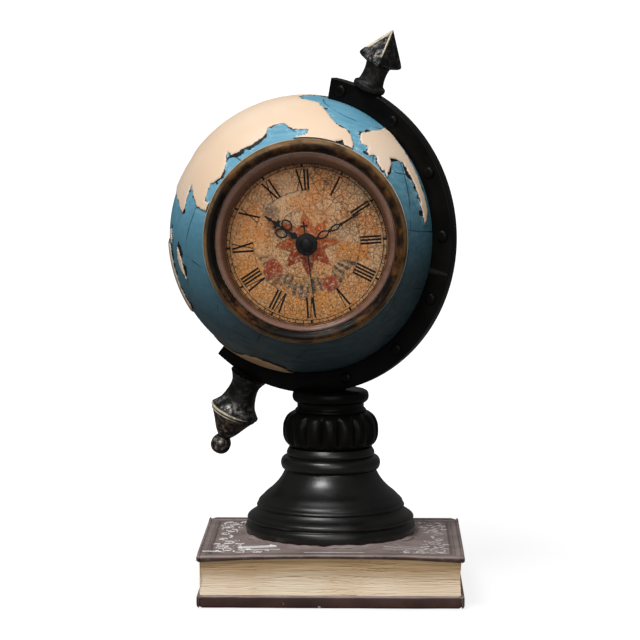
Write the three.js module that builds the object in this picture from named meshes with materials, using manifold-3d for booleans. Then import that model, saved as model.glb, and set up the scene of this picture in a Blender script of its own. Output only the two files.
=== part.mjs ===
// Spherical desk clock: a small relief globe with a clock dial set in its side. A meridian arc holds the
// globe between two finials, a turned pedestal carries the arc, and a closed book is the base.
// Millimetres, +Z up, the dial faces -Y. The origin is the middle of the underside of the base pad.
import * as THREE from "three";
import { mergeVertices } from "three/addons/utils/BufferGeometryUtils.js";
import Module from "manifold-3d";

const wasm = await Module();
wasm.setup();

// Clearances
const touch = 0.02; // between flat faces that rest on each other
const seatGap = 0.3; // between turned or curved pieces that seat in each other
const runGap = 0.1; // all round a shaft in its bearing
const overrun = 1; // how far a cutter reaches past the face that it cuts
const mergeDistance = 1e-4; // vertices closer than this are one
const flatness = 0.01; // edges that stand out less than this are left out after a cut

// Book
const bookWidth = 135;
const bookDepth = 110;
const lowerCoverThickness = 6.4;
const upperCoverThickness = 4;
const pageHeight = 17;
const coverCorner = 2.4;
const coverSoftening = 0.7;
const coverOverhang = 1.6;
const pageHollow = 1.4;
const spineWall = 3;
const spineBulge = 4;
const padThickness = 1;
const padProud = 0.4;
const padInset = 7;

// Pedestal
const pedestalX = -1;
const pedestalY = 9;
const footRadius = 44.6;
const footHeight = 45.6;
const bulbRadius = 25;
const bulbHeight = 18.5;
const bulbLobes = 16;
const collarRadius = 20;
const collarHeight = 11.5;
const footPegRadius = 12;
const footPegLength = 3;
const jointPegRadius = 8;
const jointPegLength = 4;
const saddleDepth = 2.3;

// Globe
const globeRadius = 72;
const globeWall = 4.5;
const reliefHeight = 1;
const reliefRoot = 1.5;
const globeOffset = 12; // the globe's centre lies this far to the left of the pedestal's axis
const lapLength = 3;
const rearOpeningRadius = 42; // wide enough to take the battery out
const boreRadius = 45.3;
const boreWall = 3.2;
const boreLipThickness = 3;

// Meridian arc and finials
const arcYaw = 24.5; // degrees that the arc's plane is turned towards the viewer on its right
const axisTilt = 24.5; // degrees from upright
const arcOverhang = 14; // degrees that the arc runs on past each pole
const arcWidth = 10.7;
const arcThickness = 7;
const arcSoftening = 0.8;
const arcEndMargin = 0.4; // degrees clear of the land at each end
const studRadius = 2.8;
const studHeight = 1.4;
const studCount = 7; // they stop short of the collar
const studCrownShare = 0.55;
const firstStudAngle = 15.3;
const studPitch = 24.5; // degrees
const pinRadius = 2.6;
const pinReach = 3; // past the inside of the globe's wall
const spearLength = 33.3;
const spearHeadRadius = 11.5;
const spearNeckRadius = 8.4;
const spearTurn = 22; // degrees, so that an edge of the head faces the front
const dropLength = 47;
const dropRadius = 13.2;

// Bezel, window and dial
const bezelRadius = 51.4;
const bezelHeight = 6;
const bezelSeatMargin = 0.3;
const ringHeight = 2.6;
const windowShiftX = 0.5; // the insert has settled a little low and to the right in its bore
const windowDrop = 1.8;
const housingWall = 1.5;
const floorThickness = 1.6;
const dialThickness = 0.6;
const lensThickness = 1.4;
const lensLedge = 0.8;
const handRoom = 6; // from the dial to the lens

// Hands, lengths from the centre of the dial
const hourHandLength = 27;
const minuteHandLength = 32.5;
const secondHandLength = 34;
const secondTailLength = 11;
const hourBossRadius = 5.6;
const minuteBossRadius = 4.4;
const secondBossRadius = 2.1;
const handThickness = 0.4;
const handPitch = 0.85; // from one hand to the next
const loopBand = 0.83; // width of the hands' loops
const hourHandAngle = 303.8; // degrees clockwise from 12
const minuteHandAngle = 59.6;
const secondHandAngle = 172.4;

// Clock movement
const nutThickness = 2;
const nutRadius = 5.4;
const bushRadius = 4;
const bushProud = 0.3;
const caseWall = 1.4;
const casePlate = 1.5;
const caseCorner = 4;
const caseCoverThickness = 1.5;
const caseTopRoom = 26.1; // from the hands' axis to the inside of the case's top wall
const batteryRadius = 7.25;
const batteryLength = 50.5;
const batteryNubRadius = 2.6;
const batteryNubLength = 1;
const contactThickness = 0.4;
const contactWidth = 7;
const bayGap = 0.15;
const layerStep = 2; // from one layer of wheels to the next
const wheelThickness = 0.9;
const layerGap = 0.4;
const secondsArborRadius = 0.7;
const pipeWall = 0.8;
const arborRadius = 0.6;
const pivotRadius = 0.45;
const postRadius = 0.9;
const knobShaftRadius = 1;
const knobRadius = 5.5;
const knobHeight = 4;
const knobRibs = 14;
const motionModule = 0.45;
const thirdModule = 0.4;
const driveModule = 0.62;
const rotorModule = 0.4;
const magnetRadius = 2.7;
const magnetLength = 2.4;
const airGap = 0.5;
const statorThickness = 1.2;
const statorBar = 2;
const coilRadius = 3.6;
const coilFlange = 1;
const boardWidth = 20;
const boardHeight = 6.4;
const boardThickness = 1.2;

// Tooth counts
const secondsTeeth = 30;
const secondsPinion = 6;
const thirdTeeth = 48;
const thirdPinion = 6;
const centreTeeth = 45;
const intermediateTeeth = 36;
const intermediatePinion = 6;
const rotorPinion = 6;
const cannonPinion = 10;
const motionTeeth = 30;
const motionPinion = 8;
const hourTeeth = 32;
const knobTeeth = 12;
const addendumShare = 0.75; // of the module
const dedendumShare = 1.25;

// Finishes
const seaBlue = { color: 0x2f6a88, roughness: 0.55, metalness: 0 };
const satinBlack = { color: 0x16161a, roughness: 0.45, metalness: 0 };
const rubbedBronze = { color: 0x4a3521, roughness: 0.5, metalness: 0.4 };
const drybrushed = { color: 0x2c2822, roughness: 0.5, metalness: 0.3 };
const plumBrown = { color: 0x5d463f, roughness: 0.5, metalness: 0 };
const coverPlum = { color: 0x4b3a3d, roughness: 0.6, metalness: 0 };
const pageCream = { color: 0xcdb98f, roughness: 0.8, metalness: 0 };
const dialOchre = { color: 0xc09a62, roughness: 0.7, metalness: 0 };
const handBlack = { color: 0x141212, roughness: 0.5, metalness: 0.2 };
const clearGlass = { color: 0xe8f0f2, roughness: 0.05, metalness: 0 };
const feltGreen = { color: 0x26302a, roughness: 0.95, metalness: 0 };
const caseBlack = { color: 0x1b1b1d, roughness: 0.6, metalness: 0 };
const wheelWhite = { color: 0xe4dfd2, roughness: 0.5, metalness: 0 };
const brass = { color: 0xb08d57, roughness: 0.35, metalness: 0.9 };
const steel = { color: 0x9a9a9c, roughness: 0.35, metalness: 0.9 };
const copper = { color: 0xa65a33, roughness: 0.4, metalness: 0.8 };
const boardGreen = { color: 0x1f5a37, roughness: 0.5, metalness: 0 };
const batteryGrey = { color: 0x55585e, roughness: 0.4, metalness: 0.2 };

const radians = THREE.MathUtils.degToRad;
const fullTurn = 2 * Math.PI;

// Turns what was drawn in X and Y, or revolved about Y, to stand in X and Z, with its front towards -Y.
const standing = new THREE.Matrix4().set(1, 0, 0, 0, 0, 0, -1, 0, 0, 1, 0, 0, 0, 0, 0, 1);

function stand(geometry) {
  return geometry.applyMatrix4(standing);
}

// A closed mesh as a solid that can be joined and cut.
function solid(geometry) {
  const bare = geometry.clone();
  bare.deleteAttribute("normal");
  bare.deleteAttribute("uv");
  const merged = mergeVertices(bare, mergeDistance);
  const index = merged.index.array;
  const triVerts = [];
  for (let i = 0; i < index.length; i += 3) {
    const [a, b, c] = [index[i], index[i + 1], index[i + 2]];
    if (a !== b && b !== c && c !== a) triVerts.push(a, b, c);
  }
  return new wasm.Manifold(
    new wasm.Mesh({
      numProp: 3,
      vertProperties: merged.attributes.position.array,
      triVerts: new Uint32Array(triVerts),
    }),
  );
}

function geometryOf(body) {
  const mesh = body.simplify(flatness).getMesh();
  return new THREE.BufferGeometry()
    .setAttribute("position", new THREE.BufferAttribute(new Float32Array(mesh.vertProperties), 3))
    .setIndex(new THREE.BufferAttribute(new Uint32Array(mesh.triVerts), 1));
}

function join(...geometries) {
  return geometryOf(geometries.map(solid).reduce((a, b) => a.add(b)));
}

function cut(geometry, ...cutters) {
  return geometryOf(cutters.map(solid).reduce((a, b) => a.subtract(b), solid(geometry)));
}

function common(geometry, other) {
  return geometryOf(solid(geometry).intersect(solid(other)));
}

// Revolves [radius, height] points about Y. A profile either starts and ends on the axis or closes on itself.
function revolve(profile, steps) {
  const open = profile[0][0] === 0 && profile.at(-1)[0] === 0;
  const loop = open ? profile : [...profile, profile[0]];
  const area = loop.slice(1).reduce((sum, [r, h], i) => sum + loop[i][0] * h - r * loop[i][1], 0);
  const points = loop.map(([r, h]) => new THREE.Vector2(r, h));
  if (area < 0) points.reverse();
  return new THREE.LatheGeometry(points, steps);
}

// Revolves [radius, height] points about the upright axis.
const turned = (profile, steps) => stand(revolve(profile, steps));

// Revolves [radius, depth] points about the dial's axis. Depth counts towards the viewer.
const faced = (profile, steps) => revolve(profile.map(([r, depth]) => [r, -depth]), steps);

// An upright or a dial-axis cylinder, with a hole if it has an inner radius.
function tubeProfile(outer, inner, from, to) {
  if (inner > 0) return [[inner, from], [outer, from], [outer, to], [inner, to]];
  return [[0, from], [outer, from], [outer, to], [0, to]];
}

const disc = (outer, inner, from, to, steps) => faced(tubeProfile(outer, inner, from, to), steps);

// A flat piece seen from the front, from one depth to another.
function plate(shape, from, to, curveSteps = 6) {
  const geometry = new THREE.ExtrudeGeometry(shape, {
    depth: to - from,
    bevelEnabled: false,
    curveSegments: curveSteps,
  });
  return stand(geometry).translate(0, -from, 0);
}

function polygon(points) {
  return new THREE.Shape(points.map(([x, y]) => new THREE.Vector2(x, y)));
}

function rectangle(x0, y0, x1, y1) {
  return polygon([[x0, y0], [x1, y0], [x1, y1], [x0, y1]]);
}

function circle(x, y, radius, steps) {
  const points = [];
  for (let i = 0; i < steps; i++) {
    const a = (fullTurn * i) / steps;
    points.push([x + radius * Math.cos(a), y + radius * Math.sin(a)]);
  }
  return polygon(points);
}

function roundedRectangle(x0, y0, x1, y1, corner) {
  const shape = new THREE.Shape();
  shape.moveTo(x0 + corner, y0);
  shape.lineTo(x1 - corner, y0);
  shape.absarc(x1 - corner, y0 + corner, corner, -Math.PI / 2, 0);
  shape.absarc(x1 - corner, y1 - corner, corner, 0, Math.PI / 2);
  shape.absarc(x0 + corner, y1 - corner, corner, Math.PI / 2, Math.PI);
  shape.absarc(x0 + corner, y0 + corner, corner, Math.PI, 1.5 * Math.PI);
  return shape;
}

// Adds one node to a group.
function piece(name, geometry, finish, group) {
  const mesh = new THREE.Mesh(geometry, new THREE.MeshStandardMaterial(finish));
  mesh.name = name;
  group.add(mesh);
  return mesh;
}

const clock = new THREE.Group();

// Book
const lowerCoverBottom = padProud;
const pagesBottom = lowerCoverBottom + lowerCoverThickness;
const upperCoverBottom = pagesBottom + pageHeight;
const bookTop = upperCoverBottom + upperCoverThickness;
const spineFront = bookDepth / 2 - spineBulge - spineWall;

// A cover board with softened edges, lying flat.
function board(bottom, thickness) {
  const softening = Math.min(coverSoftening, thickness / 3);
  const shape = roundedRectangle(
    -bookWidth / 2,
    -bookDepth / 2,
    bookWidth / 2,
    spineFront - touch,
    coverCorner,
  );
  return new THREE.ExtrudeGeometry(shape, {
    depth: thickness - 2 * softening,
    bevelThickness: softening,
    bevelSize: softening,
    bevelOffset: -softening,
    bevelSegments: 1,
    curveSegments: 2,
  }).translate(0, 0, bottom + softening);
}

function padShape(margin) {
  return roundedRectangle(
    -bookWidth / 2 + padInset - margin,
    -bookDepth / 2 + padInset - margin,
    bookWidth / 2 - padInset + margin,
    spineFront - padInset + margin,
    coverCorner,
  );
}

function makeBasePad() {
  return new THREE.ExtrudeGeometry(padShape(0), {
    depth: padThickness,
    bevelEnabled: false,
    curveSegments: 2,
  });
}

function makeLowerCover() {
  const pocket = new THREE.ExtrudeGeometry(padShape(seatGap), {
    depth: padThickness + touch + overrun,
    bevelEnabled: false,
    curveSegments: 2,
  }).translate(0, 0, -overrun);
  return cut(board(lowerCoverBottom, lowerCoverThickness), pocket);
}

function makeUpperCover() {
  const pegHole = turned(
    tubeProfile(footPegRadius + seatGap, 0, bookTop - footPegLength - seatGap, bookTop + overrun),
    32,
  ).translate(pedestalX, pedestalY, 0);
  return cut(board(upperCoverBottom, upperCoverThickness), pegHole);
}

// Draws a side view in Y and Z and runs it across the book's width.
function acrossBook(sideView, halfWidth) {
  const geometry = new THREE.ExtrudeGeometry(sideView, {
    depth: 2 * halfWidth,
    bevelEnabled: false,
  });
  const across = new THREE.Matrix4().set(0, 0, 1, 0, 1, 0, 0, 0, 0, 1, 0, 0, 0, 0, 0, 1);
  return geometry.applyMatrix4(across).translate(-halfWidth, 0, 0);
}

function makeSpine() {
  const steps = 12;
  const middle = (bookTop + lowerCoverBottom) / 2;
  const halfHeight = (bookTop - lowerCoverBottom) / 2;
  const points = [[spineFront, lowerCoverBottom]];
  for (let i = 0; i <= steps; i++) {
    const a = -Math.PI / 2 + (Math.PI * i) / steps;
    points.push([
      spineFront + spineWall + spineBulge * Math.cos(a),
      middle + halfHeight * Math.sin(a),
    ]);
  }
  points.push([spineFront, bookTop]);
  return acrossBook(polygon(points), bookWidth / 2);
}

function makePages() {
  const steps = 6;
  const front = -bookDepth / 2 + coverOverhang;
  const bottom = pagesBottom + touch;
  const top = upperCoverBottom - touch;
  const points = [[spineFront - touch, bottom], [spineFront - touch, top]];
  for (let i = 0; i <= steps; i++) {
    const share = i / steps;
    points.push([
      front + pageHollow * Math.sin(Math.PI * share),
      top + (bottom - top) * share,
    ]);
  }
  return acrossBook(polygon(points), bookWidth / 2 - coverOverhang);
}

function makeBook() {
  const book = new THREE.Group();
  piece("base_pad", makeBasePad(), feltGreen, book);
  piece("book_lower_cover", makeLowerCover(), coverPlum, book);
  piece("page_block", makePages(), pageCream, book);
  piece("book_upper_cover", makeUpperCover(), coverPlum, book);
  piece("book_spine", makeSpine(), coverPlum, book);
  return book;
}

// Pedestal: each profile goes up the outside, as shares of the piece's radius and height.
const footShares = [
  [0.985, 0], [1, 0.05], [0.995, 0.12], [0.965, 0.165], [0.975, 0.2], [0.92, 0.268], [0.85, 0.315],
  [0.84, 0.38], [0.758, 0.47], [0.657, 0.55], [0.575, 0.65], [0.53, 0.74], [0.578, 0.785],
  [0.575, 0.865], [0.515, 0.905], [0.49, 1],
];
const bulbShares = [[0.8, 0], [0.96, 0.2], [1, 0.5], [0.95, 0.82], [0.8, 1]];
const collarShares = [
  [0.92, 0], [0.92, 0.13], [0.872, 0.2], [0.875, 0.42], [0.97, 0.53], [1, 0.72], [0.88, 1],
];
const lobeDepthShare = 0.1;
const lobeSteps = 4;

function outside(shares, radius, height) {
  return shares.map(([r, h]) => [r * radius, h * height]);
}

// A hole in a piece's underside for the peg of the piece below it, and a peg on its top.
const socketTop = [
  [jointPegRadius + seatGap, jointPegLength + seatGap],
  [0, jointPegLength + seatGap],
];

const pegTop = (height) => [
  [jointPegRadius, height + jointPegLength],
  [0, height + jointPegLength],
];

const footSteps = 24;

function makeFoot() {
  return turned(
    [
      [0, -footPegLength],
      [footPegRadius, -footPegLength],
      [footPegRadius, 0],
      ...outside(footShares, footRadius, footHeight),
      [jointPegRadius, footHeight],
      ...pegTop(footHeight),
    ],
    footSteps,
  );
}

// The gadrooned bulb: the turned outside is drawn in between its lobes, most at half height.
function makeBulb() {
  const geometry = turned(
    [[0, 0], ...outside(bulbShares, bulbRadius, bulbHeight), [0, bulbHeight]],
    bulbLobes * lobeSteps,
  );
  const position = geometry.attributes.position;
  for (let i = 0; i < position.count; i++) {
    const [x, y] = [position.getX(i), position.getY(i)];
    const height = position.getZ(i) / bulbHeight;
    const groove = 1 - Math.abs(Math.cos((Math.atan2(x, y) * bulbLobes) / 2));
    const share = 1 - lobeDepthShare * groove * Math.sin(Math.PI * height);
    position.setXY(i, x * share, y * share);
  }
  const socket = turned([[0, -overrun], [jointPegRadius + seatGap, -overrun], ...socketTop], 24);
  const pegRoot = bulbHeight - overrun;
  const peg = turned([[0, pegRoot], [jointPegRadius, pegRoot], ...pegTop(bulbHeight)], 24);
  return join(cut(geometry, socket), peg);
}

// The collar has a slot across its top, in which the arc stands.
function makeCollar(slotCutter) {
  const body = turned(
    [
      ...socketTop.toReversed(),
      [jointPegRadius + seatGap, 0],
      ...outside(collarShares, collarRadius, collarHeight),
      [0, collarHeight],
    ],
    footSteps,
  );
  return cut(body, slotCutter);
}

// Globe: places are angles on the globe's own map, whose pole is the tilted axis.
const frontLongitude = 175; // the meridian that faces the viewer
const arcInner = globeRadius + seatGap;
const arcOuter = arcInner + arcWidth;
const arcAlong = new THREE.Vector3(Math.cos(radians(arcYaw)), -Math.sin(radians(arcYaw)), 0);
const pole = new THREE.Vector3(0, 0, 1)
  .multiplyScalar(Math.cos(radians(axisTilt)))
  .addScaledVector(arcAlong, Math.sin(radians(axisTilt)));
const mapFront = new THREE.Vector3(0, -1, 0).addScaledVector(pole, pole.y).normalize();
const mapEast = new THREE.Vector3().crossVectors(pole, mapFront);

function onMap([latitude, longitude]) {
  const [lat, lon] = [radians(latitude), radians(longitude - frontLongitude)];
  return new THREE.Vector3()
    .addScaledVector(mapFront, Math.cos(lat) * Math.cos(lon))
    .addScaledVector(mapEast, Math.cos(lat) * Math.sin(lon))
    .addScaledVector(pole, Math.sin(lat));
}

// Coasts in degrees of latitude and longitude on this globe's map.
const coasts = [
  [ // Europe and Asia
    [56, 179], [61, 168], [64, 153], [68, 134], [69, 117], [74, 104], [72, 85], [68, 70], [68, 45],
    [71, 26], [62, 7], [57, 9], [52, 4], [48, -4], [43, -9], [37, -7], [43, 4], [44, 11], [38, 17],
    [44, 14], [38, 23], [41, 29], [36, 32], [36, 36], [29, 34], [13, 44], [17, 55], [24, 58],
    [30, 49], [25, 62], [20, 72], [8, 78], [21, 88], [10, 93], [-2, 97], [-7, 110], [3, 111],
    [-1, 121], [-1, 125], [9, 124], [24, 118], [27, 125], [39, 129], [43, 127], [48, 129],
    [47, 136], [49, 142], [49, 149], [43, 151], [48, 166], [52, 177],
  ],
  [ // Africa
    [35, -6], [37, 10], [31, 20], [31, 32], [22, 37], [12, 43], [11, 51], [-5, 40], [-16, 40],
    [-25, 34], [-34, 22], [-33, 18], [-17, 12], [3, 9], [5, -7], [15, -17], [28, -12],
  ],
  [ // North America
    [70, 213], [65, 189], [61, 183], [58, 185], [56, 187], [55, 197], [51, 200], [48, 202],
    [48, 208], [44, 209], [54, 215], [55, 225], [53, 231], [48, 235], [42, 235], [37, 236],
    [30, 241], [22, 252], [15, 263], [9, 276], [8, 282], [16, 275], [20, 271], [19, 264], [28, 263],
    [30, 272], [26, 280], [36, 284], [44, 290], [46, 299], [53, 304], [60, 295], [62, 284],
    [53, 279], [57, 267], [67, 262], [68, 240],
  ],
  [ // South America
    [11, 287], [6, 302], [-5, 325], [-22, 319], [-37, 303], [-53, 292], [-45, 286], [-20, 290],
    [-5, 279], [6, 282],
  ],
  [ // Australia
    [-22, 88], [-28, 97], [-36, 101], [-44, 106], [-51, 105], [-53, 92], [-47, 80], [-34, 74],
    [-25, 79],
  ],
  [[-9, 99], [-13, 104], [-15, 102], [-12, 98]], // an island
  [[-23, 110], [-25, 114], [-31, 117], [-32, 114], [-27, 111]], // an island
  [ // Antarctica
    [-71, 145], [-66, 163], [-63, 181], [-66, 205], [-71, 235], [-73, 270], [-64, 300], [-75, 325],
    [-70, 0], [-67, 50], [-66, 90], [-68, 120],
  ],
  [[60, 316], [67, 306], [76, 293], [82, 320], [79, 342], [69, 336]], // Greenland
];
const landInnerShare = 0.2;
const landOuterShare = 1.3;

// Everything inside one coast, as a wedge that widens from near the globe's centre.
function landWedge(coast) {
  const places = coast.map(onMap);
  const middle = places.reduce((sum, p) => sum.add(p), new THREE.Vector3()).normalize();
  const across = new THREE.Vector3().crossVectors(pole, middle).normalize();
  const up = new THREE.Vector3().crossVectors(middle, across);
  const flat = places.map((p) => [p.dot(across) / p.dot(middle), p.dot(up) / p.dot(middle)]);
  const geometry = new THREE.ExtrudeGeometry(polygon(flat), { depth: 1, bevelEnabled: false });
  const position = geometry.attributes.position;
  for (let i = 0; i < position.count; i++) {
    const share = position.getZ(i) > 0.5 ? landOuterShare : landInnerShare;
    const place = new THREE.Vector3()
      .addScaledVector(across, position.getX(i))
      .addScaledVector(up, position.getY(i))
      .add(middle)
      .multiplyScalar(globeRadius * share);
    position.setXYZ(i, place.x, place.y, place.z);
  }
  return geometry;
}

// Points of a circle about the globe's centre, from one angle off the front to another.
function sphereArc(radius, from, to, steps) {
  const points = [];
  for (let i = 0; i <= steps; i++) {
    const a = from + ((to - from) * i) / steps;
    points.push([radius * Math.sin(a), radius * Math.cos(a)]);
  }
  return points;
}

const shellSteps = 32;
const reliefRows = 12;
const seatRadius = bezelRadius + bezelSeatMargin;
const seatDepth = Math.sqrt(globeRadius ** 2 - seatRadius ** 2);
const seatAngle = Math.asin(seatRadius / globeRadius);
const globeInner = globeRadius - globeWall;
const lapRadius = globeRadius - globeWall / 2;

// The raised land, left out where the arc lies against the globe.
function makeRelief() {
  const ball = faced(
    [
      [0, globeRadius + reliefHeight],
      ...sphereArc(globeRadius + reliefHeight, 0, Math.PI, reliefRows).slice(1, -1),
      [0, -globeRadius - reliefHeight],
    ],
    shellSteps,
  );
  const core = faced(
    [
      [0, globeRadius - reliefRoot],
      ...sphereArc(globeRadius - reliefRoot, 0, Math.PI, reliefRows).slice(1, -1),
      [0, -globeRadius + reliefRoot],
    ],
    shellSteps,
  );
  const land = common(cut(ball, core), join(...coasts.map(landWedge)));
  const underArc = arcSector(
    globeInner,
    arcOuter + seatGap,
    arcThickness + 2 * seatGap,
    0,
    arcStart - radians(arcEndMargin),
    arcEnd + radians(arcEndMargin),
  ).rotateZ(-radians(arcYaw));
  return cut(land, underArc);
}

// The pin holes at the two poles.
function poleHole(sign) {
  const geometry = turned(tubeProfile(pinRadius + seatGap, 0, globeInner / 2, arcOuter + overrun), pinSteps);
  if (sign < 0) geometry.rotateX(Math.PI);
  return geometry.rotateY(radians(axisTilt)).rotateZ(-radians(arcYaw));
}

// The housing stands on a lip at the back of the bore.
const lensFront = seatDepth;
const lensBack = lensFront - lensThickness;
const dialFront = lensBack - handRoom;
const floorFront = dialFront - dialThickness;
const caseFront = floorFront - floorThickness;
const lipRadius = boreRadius - boreWall - housingWall - lensLedge + seatGap;

function makeFrontShell(relief) {
  const tubeRadius = boreRadius + boreWall;
  const lipBack = caseFront - boreLipThickness;
  const body = faced(
    [
      [lapRadius, 0],
      [globeRadius, 0],
      ...sphereArc(globeRadius, Math.PI / 2, seatAngle, 4).slice(1),
      [boreRadius, seatDepth],
      [boreRadius, caseFront],
      [lipRadius, caseFront],
      [lipRadius, lipBack],
      [tubeRadius, lipBack],
      ...sphereArc(globeInner, Math.asin(tubeRadius / globeInner), Math.PI / 2, 3),
      [globeInner, -lapLength],
      [lapRadius, -lapLength],
    ],
    shellSteps,
  );
  const reach = 2 * globeRadius;
  const frontHalf = disc(reach, bezelRadius + seatGap, 0, reach, shellSteps);
  return cut(join(body, common(relief, frontHalf)), poleHole(1));
}

function makeRearShell(relief) {
  const openAngle = Math.PI - Math.asin(rearOpeningRadius / globeRadius);
  const innerOpenAngle = Math.PI - Math.asin(rearOpeningRadius / globeInner);
  const body = faced(
    [
      [globeRadius, -touch],
      ...sphereArc(globeRadius, Math.PI / 2, openAngle, 5).slice(1),
      ...sphereArc(globeInner, innerOpenAngle, Math.PI / 2, 3).slice(0, -1),
      [globeInner, -lapLength - seatGap],
      [lapRadius + seatGap, -lapLength - seatGap],
      [lapRadius + seatGap, -touch],
    ],
    shellSteps,
  );
  const reach = 2 * globeRadius;
  const rearHalf = disc(reach, rearOpeningRadius, -reach, -touch, shellSteps);
  return cut(join(body, common(relief, rearHalf)), poleHole(-1));
}

// Meridian arc, drawn in its own plane with X along it to the right and Z up.
const arcStart = radians(axisTilt - arcOverhang);
const arcEnd = radians(axisTilt + arcOverhang) + Math.PI;

const arcSteps = 20;
const studSides = 6;
const pinSteps = 12;

function arcSector(inner, outer, thickness, softening, from, to) {
  const shape = new THREE.Shape();
  shape.absarc(0, 0, outer, Math.PI / 2 - from, Math.PI / 2 - to, true);
  shape.absarc(0, 0, inner, Math.PI / 2 - to, Math.PI / 2 - from, false);
  const geometry = new THREE.ExtrudeGeometry(shape, {
    depth: thickness - 2 * softening,
    bevelEnabled: softening > 0,
    bevelThickness: softening,
    bevelSize: softening,
    bevelOffset: -softening,
    bevelSegments: 1,
    curveSegments: arcSteps,
  });
  return stand(geometry.translate(0, 0, -thickness / 2 + softening));
}

function stud(angle, side) {
  const middle = (arcInner + arcOuter) / 2;
  const face = arcThickness / 2;
  const geometry = faced(
    [
      [0, face - overrun],
      [studRadius, face - overrun],
      [studRadius * studCrownShare, face + studHeight],
      [0, face + studHeight],
    ],
    studSides,
  );
  if (side < 0) geometry.rotateZ(Math.PI);
  return geometry.translate(middle * Math.sin(angle), 0, middle * Math.cos(angle));
}

function makeArc() {
  const studs = [];
  for (let i = 0; i < studCount; i++) {
    const angle = radians(firstStudAngle + studPitch * i);
    studs.push(stud(angle, 1), stud(angle, -1));
  }
  const body = arcSector(arcInner, arcOuter, arcThickness, arcSoftening, arcStart, arcEnd);
  const holes = [0, Math.PI].map((turn) =>
    turned(tubeProfile(pinRadius + seatGap, 0, globeRadius / 2, arcOuter + overrun), pinSteps)
      .rotateY(radians(axisTilt) + turn),
  );
  return cut(join(body, ...studs), ...holes);
}

// Finials: profiles go outward from the arc's rim, as shares of each finial's radius and length.
const finialSteps = 14;
const spearNeckEndShare = 0.42;
const spearHeadStartShare = 0.395;
const spearNeckShares = [
  [0.94, 0], [1, 0.025], [1, 0.07], [0.9, 0.09], [0.8, 0.115], [0.74, 0.18], [0.71, 0.26],
  [0.72, 0.33], [0.76, spearNeckEndShare],
];
const spearHeadShares = [[0.5, spearHeadStartShare], [0.9, 0.455], [1, 0.495], [0.95, 0.54]];
const dropShares = [
  [0.78, 0], [0.66, 0.057], [0.575, 0.125], [0.6, 0.228], [0.73, 0.353], [0.97, 0.44],
  [1, 0.467], [0.93, 0.485], [0.9, 0.508], [0.68, 0.602], [0.46, 0.711], [0.27, 0.783],
  [0.32, 0.81], [0.4, 0.855], [0.39, 0.919], [0.24, 0.977],
];

// The pin runs from inside the globe's wall to the finial, through the arc.
function pin() {
  const from = globeInner - pinReach;
  return turned(tubeProfile(pinRadius, 0, from, arcOuter + overrun + seatGap), pinSteps);
}

function makeSpear() {
  const base = arcOuter + seatGap;
  const neck = turned(
    [
      [0, 0],
      ...outside(spearNeckShares, spearNeckRadius, spearLength),
      [0, spearLength * spearNeckEndShare],
    ],
    finialSteps,
  );
  const head = turned(
    [
      [0, spearLength * spearHeadStartShare],
      ...outside(spearHeadShares, spearHeadRadius, spearLength),
      [0, spearLength],
    ],
    4,
  ).rotateZ(radians(spearTurn));
  return join(neck.translate(0, 0, base), head.translate(0, 0, base), pin());
}

function makeDrop() {
  const base = arcOuter + seatGap;
  const body = turned([[0, 0], ...outside(dropShares, dropRadius, dropLength), [0, dropLength]], finialSteps);
  return join(body.translate(0, 0, base), pin()).rotateY(Math.PI);
}

// Bezel, as shares of its width from the bore to the rim and of its height.
const bezelShares = [
  [0, 0], [1, 0], [1, 0.38], [0.88, 0.75], [0.5, 1], [0.2, 0.88], [0, 0.55],
];
const bezelBore = boreRadius + seatGap;
const bezelSteps = 32;

function makeBezel() {
  const width = bezelRadius - bezelBore;
  const profile = bezelShares.map(([r, h]) => [bezelBore + r * width, seatDepth + touch + h * bezelHeight]);
  return faced(profile, bezelSteps);
}

// The insert's parts share the hands' axis, which lies a little off the bore's axis.
const insertSteps = 28;
const windowOffset = Math.hypot(windowShiftX, windowDrop);
const housingRadius = boreRadius - windowOffset - seatGap;
const lensRadius = housingRadius - housingWall / 2 - seatGap;
const windowRadius = lensRadius - lensLedge;
const dialRadius = windowRadius - runGap;

// The trim ring fills the bore round the eccentric window. Its points go from the window, at 0, to the
// bore, at 1, and up from the lens as shares of its height.
const ringShares = [[0, 0], [1, 0], [1, 0.95], [0.7, 1], [0.3, 0.75], [0, 0.3]];
const ringWindowMargin = 0.3;

function makeInsertRing() {
  const geometry = faced(
    ringShares.map(([across, height]) => [1 + across, height]),
    bezelSteps,
  );
  const position = geometry.attributes.position;
  const outer = boreRadius - seatGap / 2;
  const inner = windowRadius - ringWindowMargin;
  for (let i = 0; i < position.count; i++) {
    const [x, z] = [position.getX(i), position.getZ(i)];
    const share = Math.hypot(x, z) - 1;
    const [cx, cz] = [x / (1 + share), z / (1 + share)];
    position.setXYZ(
      i,
      share * outer * cx + (1 - share) * (inner * cx + windowShiftX),
      -(lensFront + touch - position.getY(i) * ringHeight),
      share * outer * cz + (1 - share) * (inner * cz - windowDrop),
    );
  }
  return geometry;
}

function makeHousing() {
  const wallInside = windowRadius;
  const pocket = lensRadius + seatGap;
  return faced(
    [
      [bushRadius + runGap, caseFront + touch],
      [housingRadius, caseFront + touch],
      [housingRadius, lensFront],
      [pocket, lensFront],
      [pocket, lensBack],
      [wallInside, lensBack],
      [wallInside, floorFront],
      [bushRadius + runGap, floorFront],
    ],
    insertSteps,
  );
}

const makeLens = () => disc(lensRadius, 0, lensBack + touch, lensFront, insertSteps);

function makeDial() {
  return disc(dialRadius, bushRadius + runGap, floorFront + touch, dialFront, insertSteps);
}

function makeNut() {
  const shape = circle(0, 0, nutRadius, 6);
  shape.holes.push(circle(0, 0, bushRadius + runGap, shaftSteps));
  return plate(shape, dialFront + touch, dialFront + nutThickness);
}

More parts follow.
